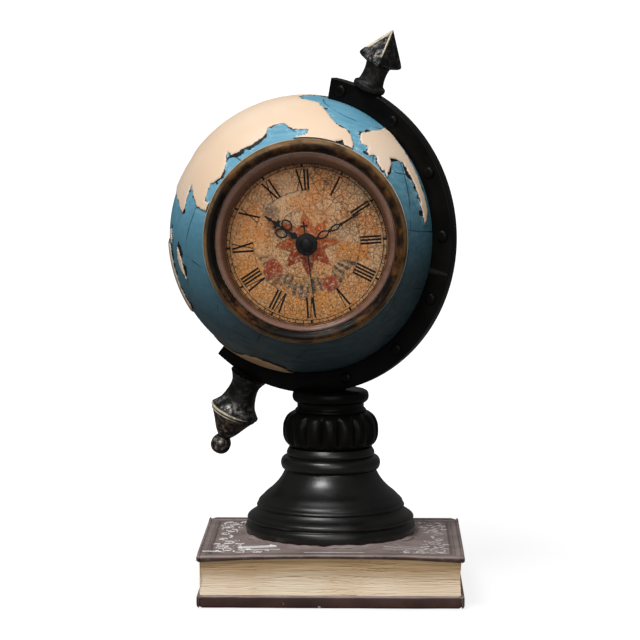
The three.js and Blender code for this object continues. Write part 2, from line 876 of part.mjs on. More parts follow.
// Movement: depths of its plates and layers, and places of its arbors round the hands' axis.
const plateInner = caseFront - casePlate;
const layers = 6;
const coverFront = plateInner - layerGap - layerStep * layers - layerGap;
const coverBack = coverFront - caseCoverThickness;
const layerFront = (n) => plateInner - layerGap - layerStep * (n - 1);
const layerBack = (n) => layerFront(n) - wheelThickness;

const pitchRadius = (teeth, module) => (teeth * module) / 2;
const thirdDistance = pitchRadius(secondsPinion + thirdTeeth, thirdModule);
const centreModule = (2 * thirdDistance) / (thirdPinion + centreTeeth);
const driveDistance = pitchRadius(secondsTeeth + intermediatePinion, driveModule);
const rotorDistance = pitchRadius(intermediateTeeth + rotorPinion, rotorModule);
const motionDistance = pitchRadius(cannonPinion + motionTeeth, motionModule);
const hourModule = (2 * motionDistance) / (motionPinion + hourTeeth);
const knobDistance = pitchRadius(motionTeeth + knobTeeth, motionModule);

// A place at a distance and a direction, in degrees, from another.
function from([x, z], distance, direction) {
  return [x + distance * Math.cos(radians(direction)), z + distance * Math.sin(radians(direction))];
}

const thirdDirection = 150;
const driveDirection = 30;
const rotorDirection = 60;
const motionDirection = 90;
const knobDirection = 105;
const centrePlace = [0, 0];
const thirdPlace = from(centrePlace, thirdDistance, thirdDirection);
const drivePlace = from(centrePlace, driveDistance, driveDirection);
const rotorPlace = from(drivePlace, rotorDistance, rotorDirection);
const motionPlace = from(centrePlace, motionDistance, motionDirection);
const knobPlace = from(motionPlace, knobDistance, knobDirection);

const largestWheel = Math.max(
  pitchRadius(centreTeeth, centreModule) + addendumShare * centreModule,
  pitchRadius(secondsTeeth, driveModule) + addendumShare * driveModule,
);
const partitionTop = -largestWheel - airGap;
const bayTop = partitionTop - pipeWall;
const bayBottom = bayTop - 2 * (batteryRadius + bayGap);
const caseHalfWidth = batteryLength / 2 + seatGap + contactThickness + bayGap + caseWall;
const caseTop = caseTopRoom + caseWall;
const caseBottom = bayBottom - caseWall;

// A gear's rim seen from the front: one tip and one root for each tooth.
function gearShape(teeth, module, phase, bore = 0, [x, z] = [0, 0]) {
  const pitch = pitchRadius(teeth, module);
  const points = [];
  for (let i = 0; i < teeth; i++) {
    const tip = phase + (fullTurn * i) / teeth;
    const root = tip + Math.PI / teeth;
    const [high, low] = [pitch + addendumShare * module, pitch - dedendumShare * module];
    points.push([x + high * Math.cos(tip), z + high * Math.sin(tip)]);
    points.push([x + low * Math.cos(root), z + low * Math.sin(root)]);
  }
  const shape = polygon(points);
  if (bore > 0) shape.holes.push(circle(x, z, bore, 12));
  return shape;
}

// The phase of a gear that meshes with another, given the direction from that one to it.
function meshed(teeth, otherTeeth, otherPhase, direction) {
  const facing = radians(direction);
  const share = ((facing - otherPhase) * otherTeeth) / fullTurn;
  return facing + Math.PI - ((0.5 - share) * fullTurn) / teeth;
}

const thirdPhase = meshed(thirdTeeth, secondsPinion, 0, thirdDirection);
const centrePhase = meshed(centreTeeth, thirdPinion, 0, thirdDirection + 180);
const intermediatePinionPhase = meshed(intermediatePinion, secondsTeeth, 0, driveDirection);
const rotorPhase = meshed(rotorPinion, intermediateTeeth, 0, rotorDirection);
const motionPhase = meshed(motionTeeth, cannonPinion, 0, motionDirection);
const hourPhase = meshed(hourTeeth, motionPinion, 0, motionDirection + 180);
const knobPhase = meshed(knobTeeth, motionTeeth, motionPhase, knobDirection);

const shaftSteps = 12;
const arborSteps = 6;
const pivotSteps = 8; // sides of the holes that the pivots turn in

function shaft(radius, inner, back, front, [x, z] = [0, 0]) {
  return disc(radius, inner, back, front, inner > 0 ? shaftSteps : arborSteps).translate(x, 0, z);
}

// An arbor with a pivot at each end, one in the front plate and one in the rear cover.
function arbor(radius, place) {
  return [
    shaft(radius, 0, coverFront + runGap, plateInner - runGap, place),
    shaft(pivotRadius, 0, coverFront - caseCoverThickness / 2, plateInner + casePlate / 2, place),
  ];
}

// Each layer of the train, from the front: 1 hour wheel, 2 motion wheel, 3 centre wheel, 4 third wheel,
// 5 seconds wheel, 6 intermediate wheel.
const minutePipeInner = secondsArborRadius + runGap;
const minutePipeOuter = minutePipeInner + pipeWall;
const hourPipeInner = minutePipeOuter + runGap;
const hourPipeOuter = hourPipeInner + pipeWall;
const bushInner = hourPipeOuter + runGap;
const bushEnd = dialFront + nutThickness + bushProud;
const handBack = (n) => bushEnd + seatGap + handPitch * n;
const handFront = (n) => handBack(n) + handThickness;

function makeSecondsWheel() {
  return join(
    shaft(secondsArborRadius, 0, coverFront - caseCoverThickness / 2, handFront(2) + handThickness),
    plate(gearShape(secondsPinion, thirdModule, 0), layerBack(4), layerFront(4)),
    plate(gearShape(secondsTeeth, driveModule, 0), layerBack(5), layerFront(5)),
  );
}

function makeThirdWheel() {
  return join(
    ...arbor(arborRadius, thirdPlace),
    plate(gearShape(thirdPinion, centreModule, 0, 0, thirdPlace), layerBack(3), layerFront(3)),
    plate(gearShape(thirdTeeth, thirdModule, thirdPhase, 0, thirdPlace), layerBack(4), layerFront(4)),
  );
}

function makeCentreWheel() {
  const shape = gearShape(centreTeeth, centreModule, centrePhase, minutePipeOuter + runGap);
  return plate(shape, layerBack(3), layerFront(3));
}

function makeIntermediateWheel() {
  return join(
    ...arbor(arborRadius, drivePlace),
    plate(
      gearShape(intermediatePinion, driveModule, intermediatePinionPhase, 0, drivePlace),
      layerBack(5),
      layerFront(5),
    ),
    plate(
      gearShape(intermediateTeeth, rotorModule, 0, 0, drivePlace),
      layerBack(6),
      layerFront(6),
    ),
  );
}

const magnetBack = layerFront(6) + layerGap;

function makeRotor() {
  return join(
    ...arbor(arborRadius, rotorPlace),
    plate(gearShape(rotorPinion, rotorModule, rotorPhase, 0, rotorPlace), layerBack(6), magnetBack),
    disc(magnetRadius, 0, magnetBack, magnetBack + magnetLength, shaftSteps)
      .translate(rotorPlace[0], 0, rotorPlace[1]),
  );
}

// The minute pipe carries the cannon pinion, and the centre wheel slips on it between two shoulders.
function makeMinutePipe() {
  const shoulder = minutePipeOuter + pipeWall;
  return join(
    shaft(minutePipeOuter, minutePipeInner, layerBack(3) - 2 * runGap - layerGap, handFront(1)),
    shaft(shoulder, minutePipeInner, layerBack(3) - runGap - layerGap, layerBack(3) - runGap),
    plate(gearShape(cannonPinion, motionModule, 0, minutePipeInner), layerBack(2), layerFront(2)),
  );
}

function makeMotionWheel() {
  const bore = postRadius + runGap;
  return join(
    plate(
      gearShape(motionTeeth, motionModule, motionPhase, bore, motionPlace),
      layerBack(2),
      layerFront(2),
    ),
    plate(
      gearShape(motionPinion, hourModule, 0, bore, motionPlace),
      layerBack(2),
      layerFront(1),
    ),
  );
}

function makeHourWheel() {
  return join(
    shaft(hourPipeOuter, hourPipeInner, layerBack(1), handFront(0)),
    plate(gearShape(hourTeeth, hourModule, hourPhase, hourPipeInner), layerBack(1), layerFront(1)),
  );
}

function makeSettingKnob() {
  const grip = [];
  for (let i = 0; i < knobRibs * 2; i++) {
    const a = (Math.PI * i) / knobRibs;
    const r = i % 2 ? knobRadius - pipeWall : knobRadius;
    grip.push([knobPlace[0] + r * Math.cos(a), knobPlace[1] + r * Math.sin(a)]);
  }
  const knobFront = coverBack - seatGap;
  return join(
    plate(polygon(grip), knobFront - knobHeight, knobFront),
    shaft(knobShaftRadius, 0, knobFront - overrun, plateInner - runGap, knobPlace),
    shaft(pivotRadius, 0, coverFront, plateInner + casePlate / 2, knobPlace),
    plate(gearShape(knobTeeth, motionModule, knobPhase, 0, knobPlace), layerBack(2), layerFront(2)),
  );
}

function makeCase() {
  const outline = () =>
    roundedRectangle(-caseHalfWidth, caseBottom, caseHalfWidth, caseTop, caseCorner);
  const front = outline();
  front.holes.push(circle(...centrePlace, bushInner, shaftSteps));
  for (const place of [thirdPlace, drivePlace, rotorPlace, knobPlace])
    front.holes.push(circle(...place, pivotRadius + runGap, pivotSteps));
  const walls = outline();
  const inside = caseHalfWidth - caseWall;
  walls.holes.push(rectangle(-inside, partitionTop, inside, caseTop - caseWall));
  walls.holes.push(rectangle(-inside, bayBottom, inside, bayTop));
  return join(
    plate(front, plateInner, caseFront, 2),
    plate(walls, coverFront + touch, plateInner + overrun / 2, 2),
    disc(bushRadius, bushInner, caseFront - overrun, bushEnd, shaftSteps),
    shaft(postRadius, 0, layerBack(2), plateInner + overrun / 2, motionPlace),
  );
}

// The stator's bar runs through the coil, and its lobe rings the rotor's magnet.
const statorFront = magnetBack + (magnetLength + statorThickness) / 2;
const statorBack = statorFront - statorThickness;
const coilPlaceZ = caseTopRoom - coilRadius - seatGap;
const statorTop = coilPlaceZ + statorBar / 2;
const statorLobe = magnetRadius + airGap + statorBar / 2;
const statorLeft = rotorPlace[0] - 4 * magnetRadius;
const statorRight = caseHalfWidth - caseWall - seatGap - airGap;
const windowBottom = rotorPlace[1] + statorLobe;
const windowTop = coilPlaceZ - statorBar / 2;

function makeStator() {
  const outer = rectangle(statorLeft, rotorPlace[1], statorRight, statorTop);
  outer.holes.push(
    rectangle(statorLeft + statorBar, windowBottom, statorRight - statorBar, windowTop),
  );
  const hole = disc(magnetRadius + airGap, 0, statorBack - overrun, statorFront + overrun, 16);
  const lobe = disc(statorLobe, 0, statorBack, statorFront, 16);
  const place = (geometry) => geometry.translate(rotorPlace[0], 0, rotorPlace[1]);
  return cut(join(plate(outer, statorBack, statorFront), place(lobe)), place(hole));
}

function makeCoil() {
  const inner = Math.hypot(statorBar, statorThickness) / 2 + seatGap;
  const left = statorLeft + statorBar + seatGap;
  const right = statorRight - statorBar - seatGap;
  const winding = coilRadius - coilFlange / 2;
  const geometry = revolve(
    [
      [inner, left],
      [coilRadius, left],
      [coilRadius, left + coilFlange],
      [winding, left + coilFlange],
      [winding, right - coilFlange],
      [coilRadius, right - coilFlange],
      [coilRadius, right],
      [inner, right],
    ],
    shaftSteps,
  );
  return geometry
    .rotateZ(-Math.PI / 2)
    .translate(0, -(statorFront + statorBack) / 2, coilPlaceZ);
}

function makeBoard() {
  const left = -caseHalfWidth + caseWall + seatGap;
  const top = caseTopRoom - seatGap;
  const chipInset = boardHeight / 4;
  const chip = rectangle(
    left + chipInset,
    top - boardHeight + chipInset,
    left + boardHeight,
    top - chipInset,
  );
  const back = coverFront + touch;
  return join(
    plate(rectangle(left, top - boardHeight, left + boardWidth, top), back, back + boardThickness),
    plate(chip, back + boardThickness / 2, back + 2 * boardThickness),
  );
}

function makeCaseCover() {
  const shape = roundedRectangle(-caseHalfWidth, caseBottom, caseHalfWidth, caseTop, caseCorner);
  const bayHalf = caseHalfWidth - caseWall;
  shape.holes.push(rectangle(-bayHalf, bayBottom, bayHalf, bayTop));
  for (const place of [thirdPlace, drivePlace, rotorPlace])
    shape.holes.push(circle(...place, pivotRadius + runGap, pivotSteps));
  shape.holes.push(circle(...centrePlace, secondsArborRadius + runGap, shaftSteps));
  shape.holes.push(circle(...knobPlace, knobShaftRadius + runGap, shaftSteps));
  const postPlaces = [statorLeft + statorBar / 2, statorRight - statorBar / 2];
  const posts = postPlaces.map((x) =>
    shaft(statorBar / 2, 0, coverFront - caseCoverThickness / 2, statorBack - touch, [
      x,
      rotorPlace[1] + statorBar,
    ]),
  );
  return join(plate(shape, coverBack, coverFront, 2), ...posts);
}

const batteryDepth = plateInner - seatGap - batteryRadius;
const batteryZ = (bayTop + bayBottom) / 2;

function makeBattery() {
  const half = batteryLength / 2;
  return revolve(
    [
      [0, -half],
      [batteryRadius, -half],
      [batteryRadius, half - batteryNubLength],
      [batteryNubRadius, half - batteryNubLength],
      [batteryNubRadius, half],
      [0, half],
    ],
    16,
  )
    .rotateZ(-Math.PI / 2)
    .translate(0, -batteryDepth, batteryZ);
}

function makeContact(side) {
  const near = side * (batteryLength / 2 + seatGap);
  const far = near + side * contactThickness;
  const [left, right] = [Math.min(near, far), Math.max(near, far)];
  const half = contactWidth / 2;
  return plate(
    rectangle(left, batteryZ - half, right, batteryZ + half),
    batteryDepth - half,
    plateInner - touch,
  );
}

// Hands, drawn pointing to 12 and turned to their rest angles.
const loopSteps = 10;

function ring([x, y, radiusX, radiusY], band) {
  const outline = (rx, ry) => {
    const points = [];
    for (let i = 0; i < loopSteps; i++) {
      const a = (fullTurn * i) / loopSteps;
      points.push([x + rx * Math.cos(a), y + ry * Math.sin(a)]);
    }
    return polygon(points);
  };
  const shape = outline(radiusX, radiusY);
  shape.holes.push(outline(radiusX - band, radiusY - band));
  return shape;
}

function hand(shapes, boss, bore, n, angle) {
  const flat = shapes.map((shape) => plate(shape, handBack(n), handFront(n)));
  const disk = disc(boss, 0, handBack(n), handFront(n), 16);
  const hole = disc(bore, 0, handBack(n) - overrun, handFront(n) + overrun, shaftSteps);
  return cut(join(disk, ...flat), hole).rotateY(radians(angle));
}

// Along the hour hand and across it, as shares of its length.
const hourStemShares = [[0.022, 0.1], [0.022, 0.8], [0, 1], [-0.022, 0.8], [-0.022, 0.1]];
const hourLeafShares = [
  [0, 0.66], [0.085, 0.735], [0.03, 0.775], [0.075, 0.835], [0.02, 0.86], [0, 0.93], [-0.02, 0.86],
  [-0.075, 0.835], [-0.03, 0.775], [-0.085, 0.735],
];
const hourBudShares = [[0, 0.24], [0.07, 0.32], [0.025, 0.4], [-0.025, 0.4], [-0.07, 0.32]];
const minuteStemShares = [
  [0.02, 0.1], [0.02, 0.55], [0.006, 1], [-0.006, 1], [-0.02, 0.55], [-0.02, 0.1],
];
const minuteKnotShares = [[0, 0.4], [0.035, 0.43], [0, 0.46], [-0.035, 0.43]];

const scaled = (shares, length) => polygon(shares.map(([x, y]) => [x * length, y * length]));

// A pair of loops on the hour hand, and two loops in line on the minute hand: across, along, and the
// half width and half length of each.
const hourLoopShares = [[0.088, 0.53, 0.1, 0.125], [-0.088, 0.53, 0.1, 0.125]];
const minuteLoopShares = [[0, 0.31, 0.062, 0.105], [0, 0.52, 0.052, 0.085]];
const loops = (shares, length) =>
  shares.map((loop) => ring(loop.map((share) => share * length), loopBand));

function makeHourHand() {
  const length = hourHandLength;
  return hand(
    [
      scaled(hourStemShares, length),
      scaled(hourLeafShares, length),
      scaled(hourBudShares, length),
      ...loops(hourLoopShares, length),
    ],
    hourBossRadius,
    hourPipeOuter + runGap,
    0,
    hourHandAngle,
  );
}

function makeMinuteHand() {
  const length = minuteHandLength;
  return hand(
    [
      scaled(minuteStemShares, length),
      scaled(minuteKnotShares, length),
      ...loops(minuteLoopShares, length),
    ],
    minuteBossRadius,
    minutePipeOuter + runGap,
    1,
    minuteHandAngle,
  );
}

// The second hand's boss is a cap over the end of its arbor.
const secondHalfWidth = 0.3;
const tailCrossShare = 0.85; // of the tail's length, to the cross
const tailCrossHalfShare = 0.17;
const tailBarShare = 1.3; // of the arm's half width

function makeSecondHand() {
  const arm = polygon([
    [-secondHalfWidth, -secondTailLength],
    [secondHalfWidth, -secondTailLength],
    [secondHalfWidth / 2, secondHandLength],
    [-secondHalfWidth / 2, secondHandLength],
  ]);
  const crossY = -secondTailLength * tailCrossShare;
  const crossHalf = secondTailLength * tailCrossHalfShare;
  const bar = secondHalfWidth * tailBarShare;
  const cross = rectangle(-crossHalf, crossY - bar, crossHalf, crossY + bar);
  const upright = rectangle(-bar, crossY - crossHalf, bar, crossY + crossHalf);
  const top = handFront(2) + 2 * handThickness;
  const cap = faced(
    [[0, handBack(2)], [secondBossRadius, handBack(2)], [secondBossRadius, handFront(2)],
      [secondBossRadius / 2, top + runGap], [0, top + runGap]],
    16,
  );
  const flat = [arm, cross, upright].map((shape) => plate(shape, handBack(2), handFront(2)));
  const socket = disc(
    secondsArborRadius + runGap,
    0,
    handBack(2) - overrun,
    handFront(2) + handThickness + runGap,
    shaftSteps,
  );
  return cut(join(cap, ...flat), socket).rotateY(radians(secondHandAngle));
}

function makeDialGroup() {
  const group = new THREE.Group();
  group.position.set(windowShiftX, 0, -windowDrop);
  piece("insert_housing", makeHousing(), plumBrown, group);
  piece("dial_plate", makeDial(), dialOchre, group);
  piece("lens", makeLens(), clearGlass, group);
  piece("fixing_nut", makeNut(), brass, group);
  piece("hour_hand", makeHourHand(), handBlack, group);
  piece("minute_hand", makeMinuteHand(), handBlack, group);
  piece("second_hand", makeSecondHand(), handBlack, group);
  piece("movement_case", makeCase(), caseBlack, group);
  piece("movement_cover", makeCaseCover(), caseBlack, group);
  piece("hour_wheel", makeHourWheel(), wheelWhite, group);
  piece("motion_wheel", makeMotionWheel(), wheelWhite, group);
  piece("minute_pipe", makeMinutePipe(), brass, group);
  piece("centre_wheel", makeCentreWheel(), wheelWhite, group);
  piece("third_wheel", makeThirdWheel(), wheelWhite, group);
  piece("seconds_wheel", makeSecondsWheel(), wheelWhite, group);
  piece("intermediate_wheel", makeIntermediateWheel(), wheelWhite, group);
  piece("rotor", makeRotor(), steel, group);
  piece("stator", makeStator(), steel, group);
  piece("coil", makeCoil(), copper, group);
  piece("circuit_board", makeBoard(), boardGreen, group);
  piece("setting_knob", makeSettingKnob(), wheelWhite, group);
  piece("battery", makeBattery(), batteryGrey, group);
  piece("battery_contact_left", makeContact(-1), steel, group);
  piece("battery_contact_right", makeContact(1), steel, group);
  return group;
}

// The arc and the finials share a group that is turned by the arc's yaw.
function makeArcGroup() {
  const group = new THREE.Group();
  group.rotation.z = -radians(arcYaw);
  piece("meridian_arc", makeArc(), satinBlack, group);
  const axis = new THREE.Group();
  axis.rotation.y = radians(axisTilt);
  piece("finial_top", makeSpear(), drybrushed, axis);
  piece("finial_bottom", makeDrop(), drybrushed, axis);
  group.add(axis);
  return group;
}

const pedestalHeight = footHeight + bulbHeight + collarHeight;
const globeX = pedestalX - globeOffset;
const globeY = pedestalY + globeOffset * Math.tan(radians(arcYaw));
const globeZ = bookTop + pedestalHeight - saddleDepth + arcOuter;

function makeGlobe() {
  const group = new THREE.Group();
  group.position.set(globeX, globeY, globeZ);
  const relief = makeRelief();
  piece("globe_front_shell", makeFrontShell(relief), seaBlue, group);
  piece("globe_rear_shell", makeRearShell(relief), seaBlue, group);
  piece("bezel", makeBezel(), rubbedBronze, group);
  piece("insert_ring", makeInsertRing(), plumBrown, group);
  group.add(makeArcGroup(), makeDialGroup());
  return group;
}

function makePedestal() {
  const group = new THREE.Group();
  group.position.set(pedestalX, pedestalY, bookTop + touch);
  const collarBottom = footHeight + bulbHeight + 2 * touch;
  piece("pedestal_foot", makeFoot(), satinBlack, group);
  piece("pedestal_bulb", makeBulb(), satinBlack, group).position.z = footHeight + touch;
  const slot = arcSector(
    arcInner - globeRadius / 2,
    arcOuter + seatGap,
    arcThickness + 2 * seatGap,
    0,
    Math.PI / 2,
    (Math.PI * 3) / 2,
  )
    .rotateZ(-radians(arcYaw))
    .translate(globeX - pedestalX, globeY - pedestalY, globeZ - bookTop - touch - collarBottom);
  piece("pedestal_collar", makeCollar(slot), satinBlack, group).position.z = collarBottom;
  return group;
}

clock.add(makeBook(), makePedestal(), makeGlobe());

export default clock;
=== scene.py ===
# %% [markdown]
# # A globe clock on a turned pedestal and a closed book
#
# The real object is a desk ornament of cast, hand-painted resin with a small quartz clock set in it. The
# model comes in as a frame of named solids with true sizes. It could be dressed with textures alone, but
# soft cast edges, carved coasts and wavy book boards are shapes. So each visible casting is made again as
# a finer mesh in the same place, and each finish is a node material.
#
# Everything is in metres in the scene. Sizes below are written in millimetres and multiplied by MM when a
# mesh is made.

import math

import bmesh
import bpy
import numpy as np
from mathutils import Matrix, Vector, kdtree, noise


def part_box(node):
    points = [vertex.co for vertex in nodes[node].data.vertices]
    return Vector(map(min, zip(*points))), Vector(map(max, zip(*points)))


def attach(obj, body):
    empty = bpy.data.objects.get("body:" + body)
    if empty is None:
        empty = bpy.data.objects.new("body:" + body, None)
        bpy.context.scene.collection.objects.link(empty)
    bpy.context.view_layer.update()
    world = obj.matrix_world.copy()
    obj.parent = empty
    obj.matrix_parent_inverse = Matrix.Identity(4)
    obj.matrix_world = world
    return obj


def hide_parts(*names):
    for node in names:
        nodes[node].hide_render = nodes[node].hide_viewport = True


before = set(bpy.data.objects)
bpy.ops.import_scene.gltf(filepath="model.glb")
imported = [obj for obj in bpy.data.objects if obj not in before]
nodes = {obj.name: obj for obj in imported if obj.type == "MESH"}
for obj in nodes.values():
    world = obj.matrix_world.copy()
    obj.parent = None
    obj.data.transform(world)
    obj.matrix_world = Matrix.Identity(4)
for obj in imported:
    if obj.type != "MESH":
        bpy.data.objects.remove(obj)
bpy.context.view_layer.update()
MM = 0.001

# %% [markdown]
# ## Where things are
#
# The globe's centre, the dial's axis and the pedestal's axis come from the frame and not from typed
# numbers, so the dressed pieces land where the solids are. The globe leans: its own pole is tilted in the
# plane of the arc, and that plane is turned towards the viewer on the right.

# %% Axes and centres
def middle(node):
    low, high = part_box(node)
    return (low + high) / 2


globe_mm = 72
globe_radius = globe_mm * MM
seam_gap = 0.02
rear_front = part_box("globe_rear_shell")[0].y
globe_centre = Vector((middle("bezel").x, rear_front - seam_gap * MM, middle("bezel").z))
dial_centre = middle("dial_plate")
dial_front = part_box("dial_plate")[0].y
foot_centre = middle("pedestal_foot")
foot_axis = Vector((foot_centre.x, foot_centre.y, 0))
on_foot_axis = Matrix.Translation(foot_axis)
book_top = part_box("book_upper_cover")[1].z

arc_yaw = math.radians(24.5)
axis_tilt = math.radians(24.5)
arc_from, arc_to = 10.5, 218.5
arc_frame = Matrix.Translation(globe_centre) @ Matrix.Rotation(-arc_yaw, 4, "Z")
pole_frame = arc_frame @ Matrix.Rotation(axis_tilt, 4, "Y")

# Local x to the right, local y up and local z out of the dial, towards the viewer.
facing = Matrix(((1, 0, 0), (0, 0, -1), (0, 1, 0))).to_4x4()
globe_front_frame = Matrix.Translation(globe_centre) @ facing
dial_frame = Matrix.Translation((dial_centre.x, globe_centre.y, dial_centre.z)) @ facing
print("globe centre:", [round(c / MM, 2) for c in globe_centre])

# %% [markdown]
# ## The camera
#
# The photograph was taken from a little above, with a long lens and the clock almost square on. A camera
# can be placed by eye, but then every size that is compared with the photograph is a guess. This place and
# lens were worked out from the corners of the book, whose proportions are known from the frame.

# %% Camera
camera_place = Vector((21.6, -1334.4, 277.2)) * MM
camera_yaw = math.radians(1.2)
camera_pitch = math.radians(5.84)
lens_in_pixels = 2589
image_width = 640

camera_data = bpy.data.cameras.new("camera")
camera_data.sensor_width = 36
camera_data.lens = lens_in_pixels * camera_data.sensor_width / image_width
camera_data.clip_end = 20
camera = bpy.data.objects.new("camera", camera_data)
camera.location = camera_place
camera.rotation_euler = (math.pi / 2 - camera_pitch, 0, camera_yaw)
bpy.context.scene.collection.objects.link(camera)
bpy.context.scene.camera = camera
print("lens:", round(camera_data.lens, 1), "mm")

# %% [markdown]
# ## A short way to write node trees
#
# A node material is a list of nodes and links. A `Tree` adds them with one short call each, so that a
# finish reads as a few sums. A `Group` is a tree with its own inputs and outputs, and a `Finish` is a
# material whose tree ends in the Principled shader.

# %% Node helpers
class Tree:
    """A node tree. Where a value is wanted, a plain value or another node's output will do."""

    def __init__(self, tree):
        self.tree = tree

    def feed(self, socket, value):
        if isinstance(value, bpy.types.NodeSocket):
            self.tree.links.new(value, socket)
        else:
            socket.default_value = (*value, 1) if socket.type == "RGBA" else value

    def put(self, kind, output=0, **given):
        """Adds a node: what it has as a setting is set, and the rest are inputs."""
        made = self.tree.nodes.new("ShaderNode" + kind)
        inputs = {key: value for key, value in given.items() if not hasattr(made, key)}
        for key, value in given.items():
            if key not in inputs:
                setattr(made, key, value)
        for key, value in inputs.items():
            index = {"a": 0, "b": 1}.get(key, key.replace("_", " "))
            self.feed(made.inputs[index], value)
        return made.outputs[output]

    def maths(self, operation, a, b=0.0):
        return self.put("Math", operation=operation, a=a, b=b)

    def times(self, a, b):
        return self.maths("MULTIPLY", a, b)

    def plus(self, a, b):
        return self.maths("ADD", a, b)

    def minus(self, a, b):
        return self.maths("SUBTRACT", a, b)

    def vector(self, operation, a, b, output=0):
        return self.put("VectorMath", output, operation=operation, a=a, b=b)

    def band(self, value, low, high, to_low=0.0, to_high=1.0):
        """A soft step of the value between low and high."""
        return self.put(
            "MapRange", interpolation_type="SMOOTHSTEP", Value=value, From_Min=low, From_Max=high,
            To_Min=to_low, To_Max=to_high,
        )

    def blend(self, share, first, second):
        """From the first colour at share 0 to the second at share 1."""
        made = self.tree.nodes.new("ShaderNodeMix")
        made.data_type = "RGBA"
        for index, value in ((0, share), (6, first), (7, second)):
            self.feed(made.inputs[index], value)
        return made.outputs[2]

    def grain(self, vector, scale, detail=3.0, roughness=0.55, distortion=0.0):
        return self.put(
            "TexNoise", Vector=vector, Scale=scale, Detail=detail, Roughness=roughness, Distortion=distortion
        )

    def swing(self, noise_value, width):
        """Noise, moved to swing about 0 with the width given."""
        return self.times(self.minus(noise_value, 0.5), width)

    def place(self):
        """The point's own place, in metres."""
        return self.put("TexCoord", output=3)

    def part(self, vector, axis):
        return self.put("SeparateXYZ", output="XYZ".index(axis), Vector=vector)

    def attribute(self, name):
        return self.put("Attribute", output=2, attribute_name=name)

    def use(self, group, output="Mask", **given):
        made = self.tree.nodes.new("ShaderNodeGroup")
        made.node_tree = group.tree
        for key, value in given.items():
            self.feed(made.inputs[key], value)
        return made.outputs[output]


class Group(Tree):
    """A node group: `given` holds its inputs, and `gives` says what comes out."""

    def __init__(self, name, outputs, vector=False, **numbers):
        super().__init__(bpy.data.node_groups.new(name, "ShaderNodeTree"))
        sockets = self.tree.interface
        if vector:
            sockets.new_socket("Vector", in_out="INPUT", socket_type="NodeSocketVector")
        for label, default in numbers.items():
            socket = sockets.new_socket(label, in_out="INPUT", socket_type="NodeSocketFloat")
            socket.default_value = default
        for label in outputs:
            sockets.new_socket(label, in_out="OUTPUT", socket_type="NodeSocketFloat")
        self.given = self.tree.nodes.new("NodeGroupInput").outputs
        self.end = self.tree.nodes.new("NodeGroupOutput")

    def gives(self, **values):
        for label, value in values.items():
            self.tree.links.new(value, self.end.inputs[label])


class Finish(Tree):
    """A material: `set` fills the shader's inputs."""

    def __init__(self, name, roughness=0.5, **shader_values):
        self.material = bpy.data.materials.new(name)
        self.material.use_nodes = True
        super().__init__(self.material.node_tree)
        self.shader = self.tree.nodes["Principled BSDF"]
        self.spot = self.place()
        self.set(Roughness=roughness, **shader_values)
        print("finish:", name)

    def set(self, **values):
        for key, value in values.items():
            self.feed(self.shader.inputs[key.replace("_", " ")], value)

    def bump(self, height, strength, distance):
        self.set(Normal=self.put("Bump", Height=height, Strength=strength, Distance=distance))

    def noise(self, scale, detail=3.0, roughness=0.55, distortion=0.0):
        return self.grain(self.spot, scale, detail, roughness, distortion)

# %% [markdown]
# ## Effects that several finishes share
#
# Hand-painted resin has the same few marks everywhere. Raised edges are rubbed with a dry brush, so they
# are lighter. Paint lies in faint brush strokes. Old varnish cracks into cells. Each could be written into
# every material anew; as a node group it is built once and takes other values in each material.

# %% Group: edges rubbed with a dry brush
edge_rub = Group("edge_rub", ["Mask"], Start=0.51, Width=0.06, Breakup=0.5, Scale=400.0)
rub_noise = edge_rub.grain(edge_rub.place(), edge_rub.given["Scale"], 4.0, 0.65)
rub_shift = edge_rub.times(edge_rub.swing(rub_noise, edge_rub.given["Breakup"]), 0.3)
sharpness = edge_rub.put("NewGeometry", output=7)
rub_end = edge_rub.plus(edge_rub.given["Start"], edge_rub.given["Width"])
edge_rub.gives(Mask=edge_rub.band(edge_rub.plus(sharpness, rub_shift), edge_rub.given["Start"], rub_end))

# %% Group: brush strokes in paint
brush_marks = Group("brush_marks", ["Mask", "Height"], vector=True, Scale=60.0, Stretch=12.0)
stretch = brush_marks.given["Stretch"]
marks_scale = brush_marks.put("CombineXYZ", X=1.0, Y=stretch, Z=stretch)
marks_place = brush_marks.vector("MULTIPLY", brush_marks.given["Vector"], marks_scale)
marks_noise = brush_marks.grain(marks_place, brush_marks.given["Scale"], 5.0, 0.6)
brush_marks.gives(Mask=brush_marks.band(marks_noise, 0.35, 0.7), Height=marks_noise)

# %% Group: crackled varnish
crackle = Group("crackle", ["Mask"], Scale=600.0, Line=0.06, Wander=0.0006)
crackle_drift = crackle.put("TexNoise", output=1, Vector=crackle.place(), Scale=900.0, Detail=2.0)
crackle_offset = crackle.put(
    "VectorMath", operation="SCALE", a=crackle.vector("SUBTRACT", crackle_drift, (0.5, 0.5, 0.5)),
    Scale=crackle.given["Wander"],
)
crackle_edge = crackle.put(
    "TexVoronoi", feature="DISTANCE_TO_EDGE", Vector=crackle.vector("ADD", crackle.place(), crackle_offset),
    Scale=crackle.given["Scale"],
)
crackle.gives(Mask=crackle.band(crackle_edge, 0.0, crackle.given["Line"], 1.0, 0.0))
print("shared effects:", [g.name for g in bpy.data.node_groups])

# %% [markdown]
# ## Making a mesh from numbers
#
# Most pieces here were turned, swept or cast, so their meshes are grids: a row of points, repeated along a
# path or round an axis. Modifiers could make the same forms, but a grid of points also takes a measured
# value at each point, which the paint needs. `add_piece` turns such a grid into an object, shades it and
# says which body it rides on and which solids it stands for.

# %% Mesh helpers
def new_object(name, data):
    made = bpy.data.objects.new(name, data)
    bpy.context.scene.collection.objects.link(made)
    return made


